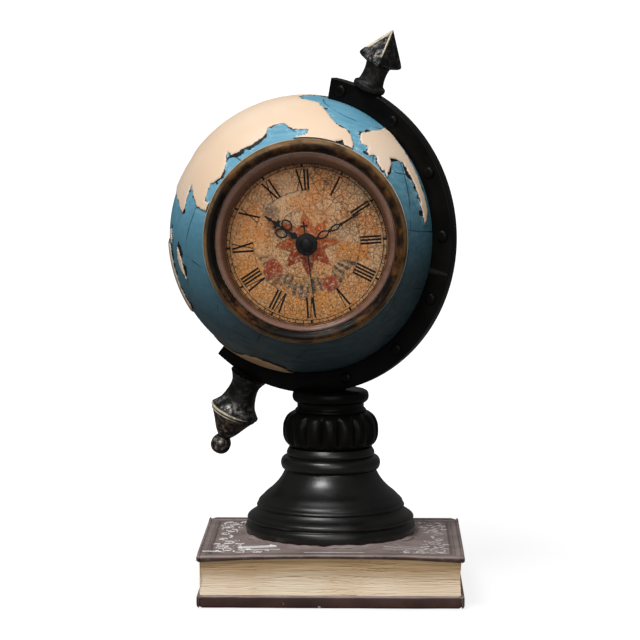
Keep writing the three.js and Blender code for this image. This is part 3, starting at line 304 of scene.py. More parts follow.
def solid_mesh(name, points, faces, place=None, weld=True):
    mesh = bpy.data.meshes.new(name)
    mesh.from_pydata([tuple(p) for p in points], [], [tuple(f) for f in faces])
    if place is not None:
        mesh.transform(place)
    edit = bmesh.new()
    edit.from_mesh(mesh)
    if weld:
        bmesh.ops.remove_doubles(edit, verts=edit.verts, dist=1e-7)
    bmesh.ops.recalc_face_normals(edit, faces=edit.faces)
    edit.to_mesh(mesh)
    edit.free()
    return mesh


def add_piece(
    name, points, faces, finish, slot, node=None, body="clock", sharp=40.0, place=None, weld=True
):
    mesh = solid_mesh(name, points, faces, place, weld)
    mesh.shade_smooth()
    mesh.set_sharp_from_angle(angle=math.radians(sharp))
    mesh.materials.append(finish.material)
    piece = new_object(name, mesh)
    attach(piece, body)
    if node:
        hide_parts(node)
    print("piece:", name, "faces:", len(mesh.polygons))
    return piece


def give_values(piece, label, values):
    attribute = piece.data.attributes.new(label, "FLOAT", "POINT")
    attribute.data.foreach_set("value", np.array(values, np.float32))


def mark(piece, place, **measures):
    """Gives each point a number per measure, worked out from its own place in millimetres."""
    back = place.inverted()
    spots = [tuple(c / MM for c in back @ vertex.co) for vertex in piece.data.vertices]
    for label, measure in measures.items():
        give_values(piece, label, [measure(*spot) for spot in spots])


def clamp(value):
    return max(0.0, min(1.0, value))


def smoothstep(value, low, high):
    share = np.clip((value - low) / (high - low), 0, 1)
    return share * share * (3 - 2 * share)


def full_turn(steps):
    return np.linspace(0, 2 * math.pi, steps, endpoint=False)


def ring_row(radius, height, turn):
    """A ring of points about local z. The radius may differ from point to point."""
    return np.stack([radius * np.cos(turn), radius * np.sin(turn), 0 * turn + height], 1)


def grid_faces(rows, columns, closed_rows=False):
    """Faces between rows of points, each row a closed loop."""
    faces = []
    for i in range(rows if closed_rows else rows - 1):
        below = i * columns
        above = ((i + 1) % rows) * columns
        for j in range(columns):
            after = (j + 1) % columns
            faces.append((below + j, below + after, above + after, above + j))
    return faces


def end_faces(rows, columns):
    """One face over the first row of a grid and one over the last."""
    return [tuple(range(columns))[::-1], tuple(range((rows - 1) * columns, rows * columns))]


def turned(profile, steps):
    """Points and faces of (radius, height) pairs in millimetres, revolved about local z."""
    turn = full_turn(steps)
    rows = [ring_row(r * MM, h * MM, turn) for r, h in profile]
    return np.concatenate(rows), grid_faces(len(profile), steps)


def scaled(outline, radius, height, start=0.0):
    """A profile in millimetres from one in shares of a radius and a height."""
    return [(r * radius, start + h * height) for r, h in outline]


def eased(points, steps=4):
    """Runs a smooth line through points: a Catmull-Rom curve."""
    points = np.array(points, float)
    padded = np.vstack([2 * points[0] - points[1], points, 2 * points[-1] - points[-2]])
    line = []
    for p0, p1, p2, p3 in zip(padded, padded[1:], padded[2:], padded[3:]):
        for t in np.arange(steps) / steps:
            square_part = 2 * p0 - 5 * p1 + 4 * p2 - p3
            cube_part = 3 * p1 - p0 - 3 * p2 + p3
            line.append(0.5 * (2 * p1 + (p2 - p0) * t + square_part * t**2 + cube_part * t**3))
    line.append(points[-1])
    return np.array(line)


def gather(parts):
    """Joins several (points, faces) pairs into one."""
    points, faces, start = [], [], 0
    for some_points, some_faces in parts:
        points.append(np.asarray(some_points, float).reshape(-1, 3))
        faces += [tuple(i + start for i in face) for face in some_faces]
        start += len(points[-1])
    return np.concatenate(points), faces

# %% [markdown]
# ## The raised map
#
# The continents are cast proud of the sea, with jagged coasts and a black wash in the corner where land
# meets sea. Coasts are written as latitude and longitude on this globe's own map, which is a free drawing
# and not a survey. Each line between two points is broken up with seeded noise, as a carver would cut it.
# Every point of the fine sphere then gets its distance to the nearest coast, positive on land. That one
# number shapes the relief and paints it.

# %% Coasts in degrees of latitude and longitude
front_longitude = 175
coasts = {
    "europe and asia": [
        (55, 181), (59, 180), (62, 177), (65, 171), (65, 163), (67, 154), (68, 147), (71, 128), (71, 110),
        (68, 100), (66, 95), (64, 80), (66, 66), (68, 45), (71, 26), (62, 7), (57, 9), (52, 4), (48, -4),
        (43, -9), (37, -7), (43, 4), (44, 11), (38, 17), (44, 14), (38, 23), (41, 29), (36, 32), (36, 36),
        (29, 34), (13, 44), (17, 55), (24, 58), (30, 49), (25, 62), (20, 72), (8, 78), (17, 84), (12, 92),
        (-1, 92), (-2, 97), (-3, 106), (-5, 114), (-2, 115), (2, 113), (7, 112), (4, 118), (2, 123),
        (2, 127), (3, 130), (4, 133), (7, 131), (6, 126), (10, 125), (13, 124), (15, 126), (17, 127),
        (21, 126), (24, 123), (27, 119), (27, 123), (29, 125), (32, 126), (35, 128), (39, 129), (43, 128),
        (45, 125), (48, 126), (51, 128), (51, 133), (51, 138), (53, 142), (55, 146), (53, 148), (51, 146),
        (48, 144), (46, 143), (43, 148), (43, 153), (47, 163), (53, 169), (56, 168), (58, 172), (54, 175),
        (49, 179), (51, 182),
    ],
    "africa": [
        (35, -6), (37, 10), (31, 20), (31, 32), (22, 37), (12, 43), (11, 51), (-5, 40), (-16, 40),
        (-25, 34), (-34, 22), (-33, 18), (-17, 12), (3, 9), (5, -7), (15, -17), (28, -12),
    ],
    "north america, west": [
        (66, 184), (68, 189), (71, 201), (73, 217), (75, 228), (72, 233), (66, 233), (58, 234), (52, 235),
        (46, 235), (40, 236), (36, 236), (32, 234), (30, 232), (34, 231), (38, 230), (41, 230), (44, 229),
        (48, 228), (51, 226), (54, 225), (56, 223), (57, 216), (57, 212), (54, 211), (50, 208), (47, 206),
        (50, 205), (50, 203), (52, 201), (54, 199), (56, 199), (56, 196), (55, 194), (57, 191), (59, 193),
        (60, 191), (60, 187), (62, 185),
    ],
    "north america, east": [
        (66, 284), (58, 276), (53, 264), (48, 253), (40, 251), (32, 252), (24, 256), (16, 262), (9, 276),
        (8, 282), (16, 275), (20, 271), (28, 263), (30, 272), (26, 280), (36, 284), (44, 290), (46, 299),
        (53, 304), (60, 295),
    ],
    "south america": [
        (11, 287), (6, 302), (-5, 325), (-22, 319), (-37, 303), (-53, 292), (-45, 286), (-20, 290),
        (-5, 279), (6, 282),
    ],
    "australia": [
        (-22, 104), (-27, 107), (-34, 111), (-40, 115), (-45, 121), (-50, 117), (-53, 100), (-47, 82),
        (-34, 76), (-25, 82),
    ],
    "island a": [(-15, 104), (-18, 108), (-21, 107), (-18, 102)],
    "island b": [(-18, 115), (-22, 120), (-25, 122), (-30, 125), (-28, 120), (-24, 116)],
    "antarctica": [
        (-69, 137), (-68, 150), (-60, 165), (-57, 174), (-57, 186), (-58, 197), (-63, 210), (-68, 225),
        (-71, 235), (-73, 270), (-64, 300), (-75, 325), (-70, 0), (-67, 50), (-66, 90), (-68, 120),
    ],
    "greenland": [(60, 316), (67, 306), (76, 293), (82, 320), (79, 342), (69, 336)],
}
map_pole = (pole_frame.to_3x3() @ Vector((0, 0, 1))).normalized()
map_front = Vector((0, -1, 0))
map_front = (map_front - map_front.dot(map_pole) * map_pole).normalized()
map_east = map_pole.cross(map_front)


def on_map(latitude, longitude):
    lat, lon = math.radians(latitude), math.radians(longitude - front_longitude)
    return (
        map_front * math.cos(lat) * math.cos(lon)
        + map_east * math.cos(lat) * math.sin(lon)
        + map_pole * math.sin(lat)
    )

# %% Break up the coasts and measure distances to them
coast_step = 0.5 * MM
coast_wander = 0.75 * MM
coast_ripples = ((0.5, 0.35), (0.7, 0.9), (0.5, 2.1))


def jagged(coast):
    places = []
    for a, b in zip(coast, coast[1:] + coast[:1]):
        start, end = on_map(*a), on_map(*b)
        steps = max(1, round(start.angle(end) * globe_radius / coast_step))
        for i in range(steps):
            place = start.lerp(end, i / steps).normalized()
            across = place.cross(end - start).normalized()
            drift = sum(size * noise.noise(place * globe_mm * scale) for size, scale in coast_ripples)
            places.append((place + across * drift * coast_wander / globe_radius).normalized())
    return places


coast_lines = {name: jagged(coast) for name, coast in coasts.items()}
coast_tree = kdtree.KDTree(sum(len(line) for line in coast_lines.values()))
for number, place in enumerate(p for line in coast_lines.values() for p in line):
    coast_tree.insert(place * globe_radius, number)
coast_tree.balance()
print("coast points:", number + 1)


def inside(directions, line):
    """Which directions lie inside a closed line on the sphere, told on a flat map about its middle."""
    line = np.array([tuple(p) for p in line])
    centre = Vector(line.mean(0)).normalized()
    across = map_pole.cross(centre)
    across = (across if across.length > 0.1 else map_front.cross(centre)).normalized()
    up = centre.cross(across)
    axes = np.array([tuple(across), tuple(up), tuple(centre)])

    def flat(v):
        u = v @ axes.T
        return u[:, :2] / (1.0001 + u[:, 2:3])

    p, q = flat(directions), flat(line)
    within = np.zeros(len(p), bool)
    for (x0, y0), (x1, y1) in zip(q, np.roll(q, -1, 0)):
        if y0 == y1:
            continue
        crosses = (y0 > p[:, 1]) != (y1 > p[:, 1])
        within ^= crosses & (p[:, 0] < (x1 - x0) * (p[:, 1] - y0) / (y1 - y0) + x0)
    return within


def coast_distance(directions):
    """Distance in millimetres to the nearest coast, positive on land."""
    land = np.zeros(len(directions), bool)
    for line in coast_lines.values():
        land |= inside(directions, line)
    away = np.array([coast_tree.find(Vector(d) * globe_radius)[2] for d in directions]) / MM
    return np.where(land, away, -away)

# %% [markdown]
# ## The two halves of the globe
#
# The globe is cast in a front half with the bore for the clock and a rear half with the opening for the
# battery. The outside of each is a fine grid over the sphere, lifted where there is land: a bump texture
# would leave the outline of the globe a plain circle. The inside, the bore and the rim are turned and
# don't need the fine grid. Under the arc the land is left flat, because the
# arc lies against the sphere there.
# %% Lift the land
relief = 0.95
relief_foot, relief_top = -0.15, 0.45
flat_half_width, flat_from, flat_to = 4.1, arc_from - 1, arc_to + 1
shell_spacing = 0.68
arc_along, arc_across = (tuple(arc_frame.to_3x3() @ Vector(axis)) for axis in ((1, 0, 0), (0, 1, 0)))


def lifted(directions, distance):
    """Radius in millimetres at each direction."""
    off_plane = np.abs(directions @ np.array(arc_across)) * globe_mm
    turn = np.degrees(np.arctan2(directions @ np.array(arc_along), directions[:, 2])) % 360
    under_arc = (off_plane < flat_half_width) & (turn > flat_from) & (turn < flat_to)
    return globe_mm + np.where(under_arc, 0, relief * smoothstep(distance, relief_foot, relief_top))


def shell_skin(from_angle, to_angle):
    """A grid over the sphere between two angles off the front, in metres, with its coast distances."""
    rows = round((to_angle - from_angle) * globe_mm / shell_spacing) + 1
    columns = round(2 * math.pi * globe_mm / shell_spacing)
    off_front = np.repeat(np.linspace(from_angle, to_angle, rows), columns)
    local = ring_row(np.sin(off_front), np.cos(off_front), np.tile(full_turn(columns), rows))
    world = local @ np.array(facing.to_3x3()).T
    distance = coast_distance(world)
    return local * (lifted(world, distance) * MM)[:, None], grid_faces(rows, columns), distance


def sphere_arc(radius, start, end, steps):
    return [(radius * math.sin(a), radius * math.cos(a)) for a in np.linspace(start, end, steps + 1)]

# %% [markdown]
# ## The globe's paint
#
# The sea is a steel blue with faint brush strokes and thin dark lines of latitude and longitude scored in
# it. The land is cream, a little peach in places, and was painted before the black wash ran into the
# corners. Drawing the lines on a flat map would bend them near the pole, so they are worked out from
# each point's own latitude and longitude and run true over the whole globe.
# %% Group: lines of latitude and longitude
line_half_width = 0.2
latitude_step, latitude_start = 23.5, 4.0
longitude_step, longitude_start = 25.0, 172.0
graticule = Group("graticule", ["Mask", "Height", "Across"])
from_centre = graticule.vector("SUBTRACT", graticule.place(), tuple(globe_centre))
outward = graticule.put("VectorMath", operation="NORMALIZE", a=from_centre)


def share_along(axis):
    return graticule.vector("DOT_PRODUCT", outward, tuple(axis), output=1)


def line_distance(angle, start, step):
    """Degrees to the nearest line of one family."""
    within = graticule.maths("FLOORED_MODULO", graticule.minus(angle, start - step / 2), step)
    return graticule.maths("ABSOLUTE", graticule.minus(within, step / 2))


height_share = share_along(map_pole)
latitude = graticule.maths("DEGREES", graticule.maths("ARCSINE", height_share))
longitude = graticule.maths("ARCTAN2", share_along(map_east), share_along(map_front))
longitude = graticule.maths("DEGREES", longitude)
circle_share = graticule.maths("SQRT", graticule.minus(1.0, graticule.times(height_share, height_share)))
to_parallel = line_distance(latitude, latitude_start, latitude_step)
to_meridian = line_distance(longitude, longitude_start - front_longitude, longitude_step)
near_pole = graticule.band(graticule.maths("ABSOLUTE", height_share), 0.9, 0.94, 0.0, 30.0)
to_meridian = graticule.plus(graticule.times(to_meridian, circle_share), near_pole)
line_wobble = graticule.times(graticule.grain(graticule.place(), 260.0, 2.0), 0.12)
to_line = graticule.plus(graticule.maths("MINIMUM", to_parallel, to_meridian), line_wobble)
half_degrees = line_half_width * 180 / (math.pi * globe_mm)
graticule.gives(
    Mask=graticule.band(to_line, half_degrees, 2.6 * half_degrees, 1.0, 0.0),
    Height=share_along((0, 0, 1)), Across=share_along((1, 0, 0)),
)

# %% Globe finish
# The sea blue in three copies from lit to shaded: painted shade darkens it towards the bottom and right.
sea_lit_top, sea_half_lit, sea_shade_and_patch = (0.11, 0.33, 0.46), (0.07, 0.205, 0.275), (0.028, 0.046, 0.052)
sea_scratch, shore_pale = (0.4, 0.66, 0.78), (0.62, 0.8, 0.88)
land_colour = (0.87, 0.7, 0.54)
land_peach = (0.83, 0.61, 0.43)
land_shade = (0.5, 0.29, 0.13)
wash_colour = (0.006, 0.007, 0.009)
bare_resin = (0.62, 0.57, 0.48)
bare_mark = -200

paint = Finish("globe_paint", roughness=0.5, Specular_IOR_Level=0.3)
coast = paint.attribute("coast")
height = paint.use(graticule, "Height")
fine = paint.noise(900.0, 3.0)
clouds = paint.noise(24.0, 4.0, 0.6)
# Painted shade: this share falls with the globe's height and towards its right side, with some cloud noise.
painted_shade_right = paint.times(paint.use(graticule, "Across"), 0.3)
painted_light_share = paint.minus(paint.plus(height, paint.swing(clouds, 0.4)), painted_shade_right)
sea = paint.blend(paint.band(painted_light_share, -0.65, 0.15), sea_shade_and_patch, sea_half_lit)
sea = paint.blend(paint.band(painted_light_share, 0.1, 0.6), sea, sea_lit_top)
# Random dark patches take the darkest blue as well.
sea = paint.blend(paint.band(clouds, 0.55, 0.75, 0.0, 0.35), sea, sea_shade_and_patch)
strokes = paint.use(brush_marks, "Mask", Vector=paint.spot, Scale=42.0, Stretch=9.0)
# Partly painted highlight: the pale dry-brush strokes grow stronger towards the top of the globe.
stroke_and_highlight_share = paint.times(strokes, paint.band(height, -0.2, 0.6, 0.04, 0.2))
sea = paint.blend(stroke_and_highlight_share, sea, sea_scratch)
shore = paint.band(paint.plus(coast, paint.times(fine, 3.0)), -3.5, 1.0, 0.0, 0.45)
scratches = paint.band(paint.noise(260.0, 5.0, 0.7, 1.5), 0.5, 0.62)
# The pale shore scratches lie only on the upper half: partly dry brush, partly painted highlight.
shore_scratch_and_highlight = paint.times(paint.times(shore, scratches), paint.band(height, 0.0, 0.5))
sea = paint.blend(shore_scratch_and_highlight, sea, shore_pale)
lines = paint.use(graticule, "Mask")
line_gaps = paint.band(paint.noise(70.0, 3.0), 0.44, 0.58, 0.0, 0.9)
sea = paint.blend(paint.times(lines, line_gaps), sea, wash_colour)
land = paint.blend(paint.band(paint.noise(14.0, 3.0), 0.35, 0.7), land_colour, land_peach)
# Painted shade: the land turns a darker brown towards the bottom and the right.
land = paint.blend(paint.band(painted_light_share, -0.6, 0.0, 0.9, 0.0), land, land_shade)
on_land = paint.band(coast, 0.1, 0.3)

# The black wash lies in blots: its reach from the coast swings between almost nothing and 2.3 mm.
blots = paint.band(paint.noise(120.0, 2.0), 0.45, 0.66, 0.1, 2.3)
ragged = paint.swing(paint.noise(420.0, 4.0, 0.65), 2.2)
wash_reach = paint.plus(paint.plus(coast, ragged), blots)
wash = paint.times(paint.band(wash_reach, 0.0, 0.35), paint.band(coast, 0.05, 0.4, 1.0, 0.0))
painted = paint.blend(on_land, sea, land)
painted = paint.blend(wash, painted, wash_colour)
unpainted = paint.band(coast, bare_mark + 50, bare_mark + 60, 1.0, 0.0)
painted = paint.blend(unpainted, painted, bare_resin)
paint.set(Base_Color=painted, Roughness=paint.band(paint.noise(60.0, 4.0), 0.3, 0.7, 0.4, 0.6))
stroke_height = paint.use(brush_marks, "Height", Vector=paint.spot, Scale=42.0, Stretch=9.0)
paint_height = paint.plus(paint.times(fine, 0.25), stroke_height)
paint_height = paint.minus(paint_height, paint.times(lines, 1.5))
paint.bump(paint_height, 0.3, 0.0001)

# %% Front half
seat_radius, bore_radius, bore_outer = 51.7, 45.3, 48.5
lip_radius, lip_depth = 40.7, 3
inner_radius, lap_length, lap_inner = 67.5, 3, 69.7
seat_depth = (globe_centre.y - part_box("bezel")[1].y) / MM
lip_front = (globe_centre.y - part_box("insert_housing")[1].y) / MM


def make_shell(name, node, from_angle, to_angle, turned_profile):
    skin_points, skin_faces, distance = shell_skin(from_angle, to_angle)
    points, faces = gather([(skin_points, skin_faces), turned(turned_profile, 128)])
    shell = add_piece(
        name, points, faces, paint, "globe_paint", node, place=globe_front_frame, weld=False, sharp=65
    )
    give_values(shell, "coast", [*distance, *[bare_mark] * (len(points) - len(distance))])
    return shell


front_profile = [
    (seat_radius, seat_depth), (bore_radius, seat_depth), (bore_radius, lip_front), (lip_radius, lip_front),
    (lip_radius, lip_front - lip_depth), (bore_outer, lip_front - lip_depth),
    *sphere_arc(inner_radius, math.asin(bore_outer / inner_radius), math.pi / 2, 16),
    (inner_radius, -lap_length), (lap_inner, -lap_length), (lap_inner, 0), (globe_mm, 0),
]
seat_angle = math.asin(seat_radius / globe_mm)
front_shell = make_shell("globe_front", "globe_front_shell", seat_angle, math.pi / 2, front_profile)

# %% Rear half
opening_radius = 42.0
lap_end, lap_outer = -3.3, 70.05
opening_angle = math.pi - math.asin(opening_radius / globe_mm)
inner_opening_angle = math.pi - math.asin(opening_radius / inner_radius)
rear_profile = [
    (opening_radius, globe_mm * math.cos(opening_angle)),
    *sphere_arc(inner_radius, inner_opening_angle, math.pi / 2, 24),
    (inner_radius, lap_end), (lap_outer, lap_end), (lap_outer, -seam_gap), (globe_mm, -seam_gap),
]
rear_shell = make_shell("globe_rear", "globe_rear_shell", math.pi / 2, opening_angle, rear_profile)
print("globe points:", len(front_shell.data.vertices) + len(rear_shell.data.vertices))

# %% [markdown]
# ## The meridian arc
#
# The arc is a flat bar bent to a half circle and a bit more, with softened edges and round studs on both
# faces. It is painted satin black and shows hardly any wear, only a faint grey rub on its edges.
# A bent curve would do for the bar alone; the studs are in the same mesh, as they were cast with it.

# %% Black satin paint
black = Finish("black_paint", roughness=0.34)
black_rub = black.use(edge_rub, "Mask", Start=0.56, Width=0.08, Breakup=0.5, Scale=300.0)
black_cloud = black.band(black.noise(60.0, 4.0), 0.35, 0.7)
black_tone = black.blend(black_cloud, (0.0022, 0.002, 0.0018), (0.0048, 0.0044, 0.0038))
black_tone = black.blend(black.times(black_rub, 0.35), black_tone, (0.04, 0.036, 0.03))
black.set(
    Base_Color=black_tone,
    Roughness=black.band(black.noise(45.0, 5.0, 0.65), 0.3, 0.7, 0.27, 0.4),
    Specular_IOR_Level=black.band(black.part(black.spot, "Z"), 70 * MM, 78 * MM, 0.52, 0.1),
)
black.bump(black.noise(500.0, 4.0), 0.3, 0.0001)

# %% Arc with studs
arc_inner, arc_outer, arc_half, arc_soft = 72.02, 83.0, 3.5, 0.6
first_stud, stud_pitch, stud_count = 15.3, 24.5, 7


def quarter(x, y, radius, start, turn, steps):
    """Points of a quarter circle, from `start` degrees on by `turn` degrees."""
    angles = [math.radians(start + turn * i / steps) for i in range(steps + 1)]
    return [(x + radius * math.cos(a), y + radius * math.sin(a)) for a in angles]


def rounded_loop(x0, y0, x1, y1, soft, steps=4):
    left, right, low, high = x0 + soft, x1 - soft, y0 + soft, y1 - soft
    corners = ((right, high, 0), (left, high, 90), (left, low, 180), (right, low, 270))
    return [spot for x, y, start in corners for spot in quarter(x, y, soft, start, 90, steps)]


def swept(section, start, end, steps):
    """A section of (radius, side) points swept round local y by degrees, angle 0 at local z."""
    radius, side = np.array(section).T * MM
    angles = np.radians(np.linspace(start, end, steps))
    rows = [np.stack([radius * math.sin(a), side, radius * math.cos(a)], 1) for a in angles]
    faces = grid_faces(len(rows), len(section)) + end_faces(len(rows), len(section))
    return np.concatenate(rows), faces


def moved(part, place):
    points, faces = part
    return [tuple(place @ Vector(p)) for p in points], faces


stud_profile = [(3.1, -0.4), (3.1, 0.25), (2.92, 0.75), (2.45, 1.12), (1.7, 1.33), (0.85, 1.4), (0, 1.41)]
bar_section = rounded_loop(arc_inner, -arc_half, arc_outer, arc_half, arc_soft)
arc_parts = [swept(bar_section, arc_from, arc_to, 220)]
for number in range(stud_count):
    stud_turn = Matrix.Rotation(math.radians(first_stud + stud_pitch * number), 4, "Y")
    for side in (-1, 1):
        stud_foot = Vector((0, side * arc_half, (arc_inner + arc_outer) / 2)) * MM
        outwards = Matrix.Translation(stud_foot) @ Matrix.Rotation(-side * math.pi / 2, 4, "X")
        arc_parts.append(moved(turned(stud_profile, 28), stud_turn @ outwards))
add_piece("arc", *gather(arc_parts), black, "black", "meridian_arc", place=arc_frame, sharp=50)

# %% [markdown]
# ## The finials
#
# Both finials are cast and dry-brushed: black in the hollows, and a warm silver grey on the edges and on
# the broad faces. The upper one is a four-sided spear head on a turned neck. The lower one is a bell with
# a drop and a ball. The silver lies where the brush left it and, as painted highlight, most on the edges
# and faces that look to the front left. Its numbers are worked out per point, not from the shape alone.

# %% Dry-brushed finish
fin = Finish("finial_paint", roughness=0.38, Specular_IOR_Level=0.22)
fin_edge_and_highlight, fin_silver_and_highlight, fin_warm = (fin.attribute(label) for label in ("edge", "broad", "warm"))
fin_strokes = fin.use(brush_marks, "Mask", Vector=fin.spot, Scale=130.0, Stretch=2.6)
fin_patch = fin.band(fin.noise(420.0, 4.0, 0.7), 0.42, 0.64)
edge_break = fin.band(fin.noise(380.0, 3.0, 0.6), 0.3, 0.5, 0.35, 1.0)
# The edge lines and the broad silver both carry painted highlight towards the front left.
fin_line = fin.times(fin.band(fin_edge_and_highlight, 0.15, 0.6), edge_break)
fin_flat = fin.times(fin.times(fin_strokes, fin_patch), fin_silver_and_highlight)
fin_silver = fin.blend(fin_warm, (0.7, 0.67, 0.64), (0.5, 0.32, 0.17))
fin_tone = fin.blend(fin_flat, (0.005, 0.0046, 0.0042), fin_silver)
fin_tone = fin.blend(fin_line, fin_tone, (0.72, 0.63, 0.46))
fin_rough = fin.band(fin_patch, 0.0, 1.0, 0.46, 0.34)
fin.set(Base_Color=fin_tone, Metallic=fin.times(fin_flat, 0.5), Roughness=fin_rough)
fin.bump(fin.plus(fin_strokes, fin.noise(420.0, 4.0)), 0.4, 0.00012)
# %% Spear finial at the top
finial_base = arc_outer + 0.3
pin_radius, pin_end = 2.6, 64.5
spear_length, spear_head, spear_neck = 33.3, 11.5, 8.4
neck_end, head_start, edge_start = 0.42, 0.395, 0.43
spear_turn = math.radians(22)
pin = turned([(0, pin_end), (pin_radius, pin_end), (pin_radius, finial_base + 1), (0, finial_base + 1)], 24)
neck_outline = eased([
    (0.94, 0), (1, 0.022), (1, 0.07), (0.92, 0.088), (0.8, 0.115), (0.74, 0.18), (0.71, 0.26), (0.72, 0.33),
    (0.78, neck_end),
])
neck_outline = [(0, 0), *neck_outline, (0, neck_end)]
neck = turned(scaled(neck_outline, spear_neck, spear_length, finial_base), 64)

head_outline = [
    (0, head_start), (0.3, head_start), (0.5, head_start), (0.88, 0.447), (0.985, 0.478), (1.0, 0.497),
    (0.985, 0.515), (0.93, 0.548), *[(0.9 - 0.885 * i / 12, 0.565 + 0.433 * i / 12) for i in range(13)],
    (0, 1.0),
]
head_points, head_side = [], 16
for r, h in scaled(head_outline, 1, spear_length, finial_base):
    for step in range(4 * head_side):
        corner, share = divmod(step / head_side, 1)
        a, b = math.radians(90 * corner), math.radians(90 * (corner + 1))
        size = r * spear_head * (1 + 0.05 * math.sin(math.pi * share) * min(1, r * 2))
        x = (1 - share) * math.cos(a) + share * math.cos(b)
        y = (1 - share) * math.sin(a) + share * math.sin(b)
        head_points.append((x * size * MM, y * size * MM, h * MM))
head = head_points, grid_faces(len(head_outline), 4 * head_side)
spear_parts = [pin, neck, moved(head, Matrix.Rotation(spear_turn, 4, "Z"))]
spear = add_piece(
    "finial_spear", *gather(spear_parts), fin, "finial", "finial_top", place=pole_frame, sharp=28
)


def spear_share(z):
    return (z - finial_base) / spear_length


def spear_edge_rub_and_highlight(x, y, z):
    """Dry-brushed edges of the head, with painted highlight: strong at the front and left, faint on the
    right.
    """
    if spear_share(z) < edge_start:
        return 0.0
    angle = (math.atan2(y, x) - spear_turn) % (2 * math.pi)
    edge = round(angle / (math.pi / 2))
    off_edge = abs(angle - edge * math.pi / 2) * math.hypot(x, y)
    strength, width = ((0.1, 0.5), (0.4, 0.5), (1.0, 1.7), (1.0, 0.5))[edge % 4]
    up_head = clamp((spear_share(z) - 0.57) * spear_length / 2.0)
    return strength * up_head * clamp(1.2 - off_edge / width)


def spear_silver_and_highlight(x, y, z):
    """Silver on the faces: a little dry brush, and painted highlight on the face that looks to the front
    left.
    """
    if spear_share(z) < edge_start:
        return 0.05
    face = (math.degrees(math.atan2(y, x) - spear_turn) % 360) / 90
    if not 2 <= face < 3:
        return 0.07
    up_head = (spear_share(z) - 0.5) / 0.5
    return 0.4 + 0.6 * clamp(2.5 * ((face - 2) * (1 - up_head) - 0.3))


mark(spear, pole_frame, edge=spear_edge_rub_and_highlight, broad=spear_silver_and_highlight)
give_values(spear, "warm", [0.0] * len(spear.data.vertices))

# %% Drop finial at the bottom
drop_length, drop_radius = 47.0, 13.2
drop_outline = np.vstack([
    [(0, 0)],
    eased([
        (0.78, 0), (0.66, 0.057), (0.575, 0.125), (0.6, 0.228), (0.73, 0.353), (0.94, 0.435), (1.0, 0.453),
    ]),
    eased([(0.995, 0.465), (0.95, 0.476), (0.93, 0.483), (0.935, 0.492), (0.92, 0.503), (0.88, 0.512)], 3),
    eased([(0.87, 0.516), (0.68, 0.602), (0.46, 0.711), (0.3, 0.77), (0.265, 0.785)]),
    eased([
        (0.27, 0.79), (0.33, 0.815), (0.385, 0.846), (0.402, 0.887), (0.38, 0.932), (0.29, 0.971),
        (0.155, 0.993), (0, 1.0),
    ]),
])
drop = turned(scaled(drop_outline, drop_radius, drop_length, finial_base), 72)
drop_frame = pole_frame @ Matrix.Rotation(math.pi, 4, "Y")
drop_piece = add_piece(
    "finial_drop", *gather([pin, drop]), fin, "finial", "finial_bottom", place=drop_frame, sharp=32
)


def drop_share(z):
    return (z - finial_base) / drop_length


def drop_outward(x, y):
    """How far a place on the drop looks to the right, from -1 to 1."""
    return (drop_frame.to_3x3() @ Vector((x, y, 0))).normalized().x


def drop_rim_and_highlight(x, y, z):
    """Dry-brushed lines on the two rims, with painted highlight: strong to the left, fading to the right."""
    rims = (0.453, 1.0), (0.492, 0.6)
    line = max(level * max(0.0, 1 - abs(drop_share(z) - place) / 0.016) for place, level in rims)
    return line * max(0.12, min(1.0, 0.75 - 0.9 * drop_outward(x, y)))


# Silver on the bell, neck and ball: dry brush, with painted highlight strongest on the side that looks left.
def drop_silver_and_highlight(x, y, z):
    share = drop_share(z)
    near_rim = max(0.0, 1 - abs(share - 0.4) / 0.12)
    to_left = max(0.2, min(1.0, 0.8 - 0.9 * drop_outward(x, y)))
    return 0.08 + 0.92 * to_left * max(near_rim, 0.8 * (0.51 < share < 0.76), share > 0.8)


def drop_warm(x, y, z):
    share = drop_share(z)
    return 0.4 if share > 0.8 else 0.85 * (share > 0.5)


mark(drop_piece, drop_frame, edge=drop_rim_and_highlight, broad=drop_silver_and_highlight, warm=drop_warm)
print("finials:", spear.name, drop_piece.name)

# %% [markdown]
# ## The bezel and the trim ring
#
# The bezel is a heavy turned moulding in antique bronze: brown rubbed unevenly over black, so large soft
# patches of both show. The trim ring inside it is the clock insert's own, in a plum-brown satin lacquer.
# The insert sits a little low and right in its bore, so the ring is wider at the top left.
# Both are turned outlines; the ring's rows slide across from the window's centre to the bore's.
# %% Antique bronze
def off_bore_axis(finish):
    """Distance from the line through the globe's centre that the bore was turned on."""
    off_centre = finish.vector("SUBTRACT", finish.spot, tuple(globe_centre))
    flat_off = finish.vector("MULTIPLY", off_centre, (1, 0, 1))
    return finish.put("VectorMath", 1, operation="LENGTH", a=flat_off)


bronze = Finish("bronze_paint", roughness=0.4, Specular_IOR_Level=0.15)
bronze_patch = bronze.band(bronze.noise(38.0, 4.0, 0.6), 0.42, 0.62)
bronze_small = bronze.band(bronze.noise(170.0, 4.0, 0.65), 0.4, 0.62)
bronze_brown = bronze.blend(bronze_small, (0.02, 0.009, 0.0035), (0.12, 0.05, 0.014))
bronze_tone = bronze.blend(bronze_patch, (0.004, 0.003, 0.0024), bronze_brown)
on_rim = bronze.band(off_bore_axis(bronze), 48.8 * MM, 50.4 * MM)
rim_rub = bronze.times(on_rim, bronze.band(bronze.noise(90.0, 4.0, 0.6), 0.36, 0.6, 0.25, 0.9))
bronze_tone = bronze.blend(rim_rub, bronze_tone, (0.27, 0.15, 0.06))
bronze_rough = bronze.band(bronze_small, 0.0, 1.0, 0.34, 0.46)
bronze.set(Base_Color=bronze_tone, Metallic=bronze.times(bronze_patch, 0.25), Roughness=bronze_rough)
bronze.bump(bronze.noise(240.0, 4.0, 0.6), 0.5, 0.0002)

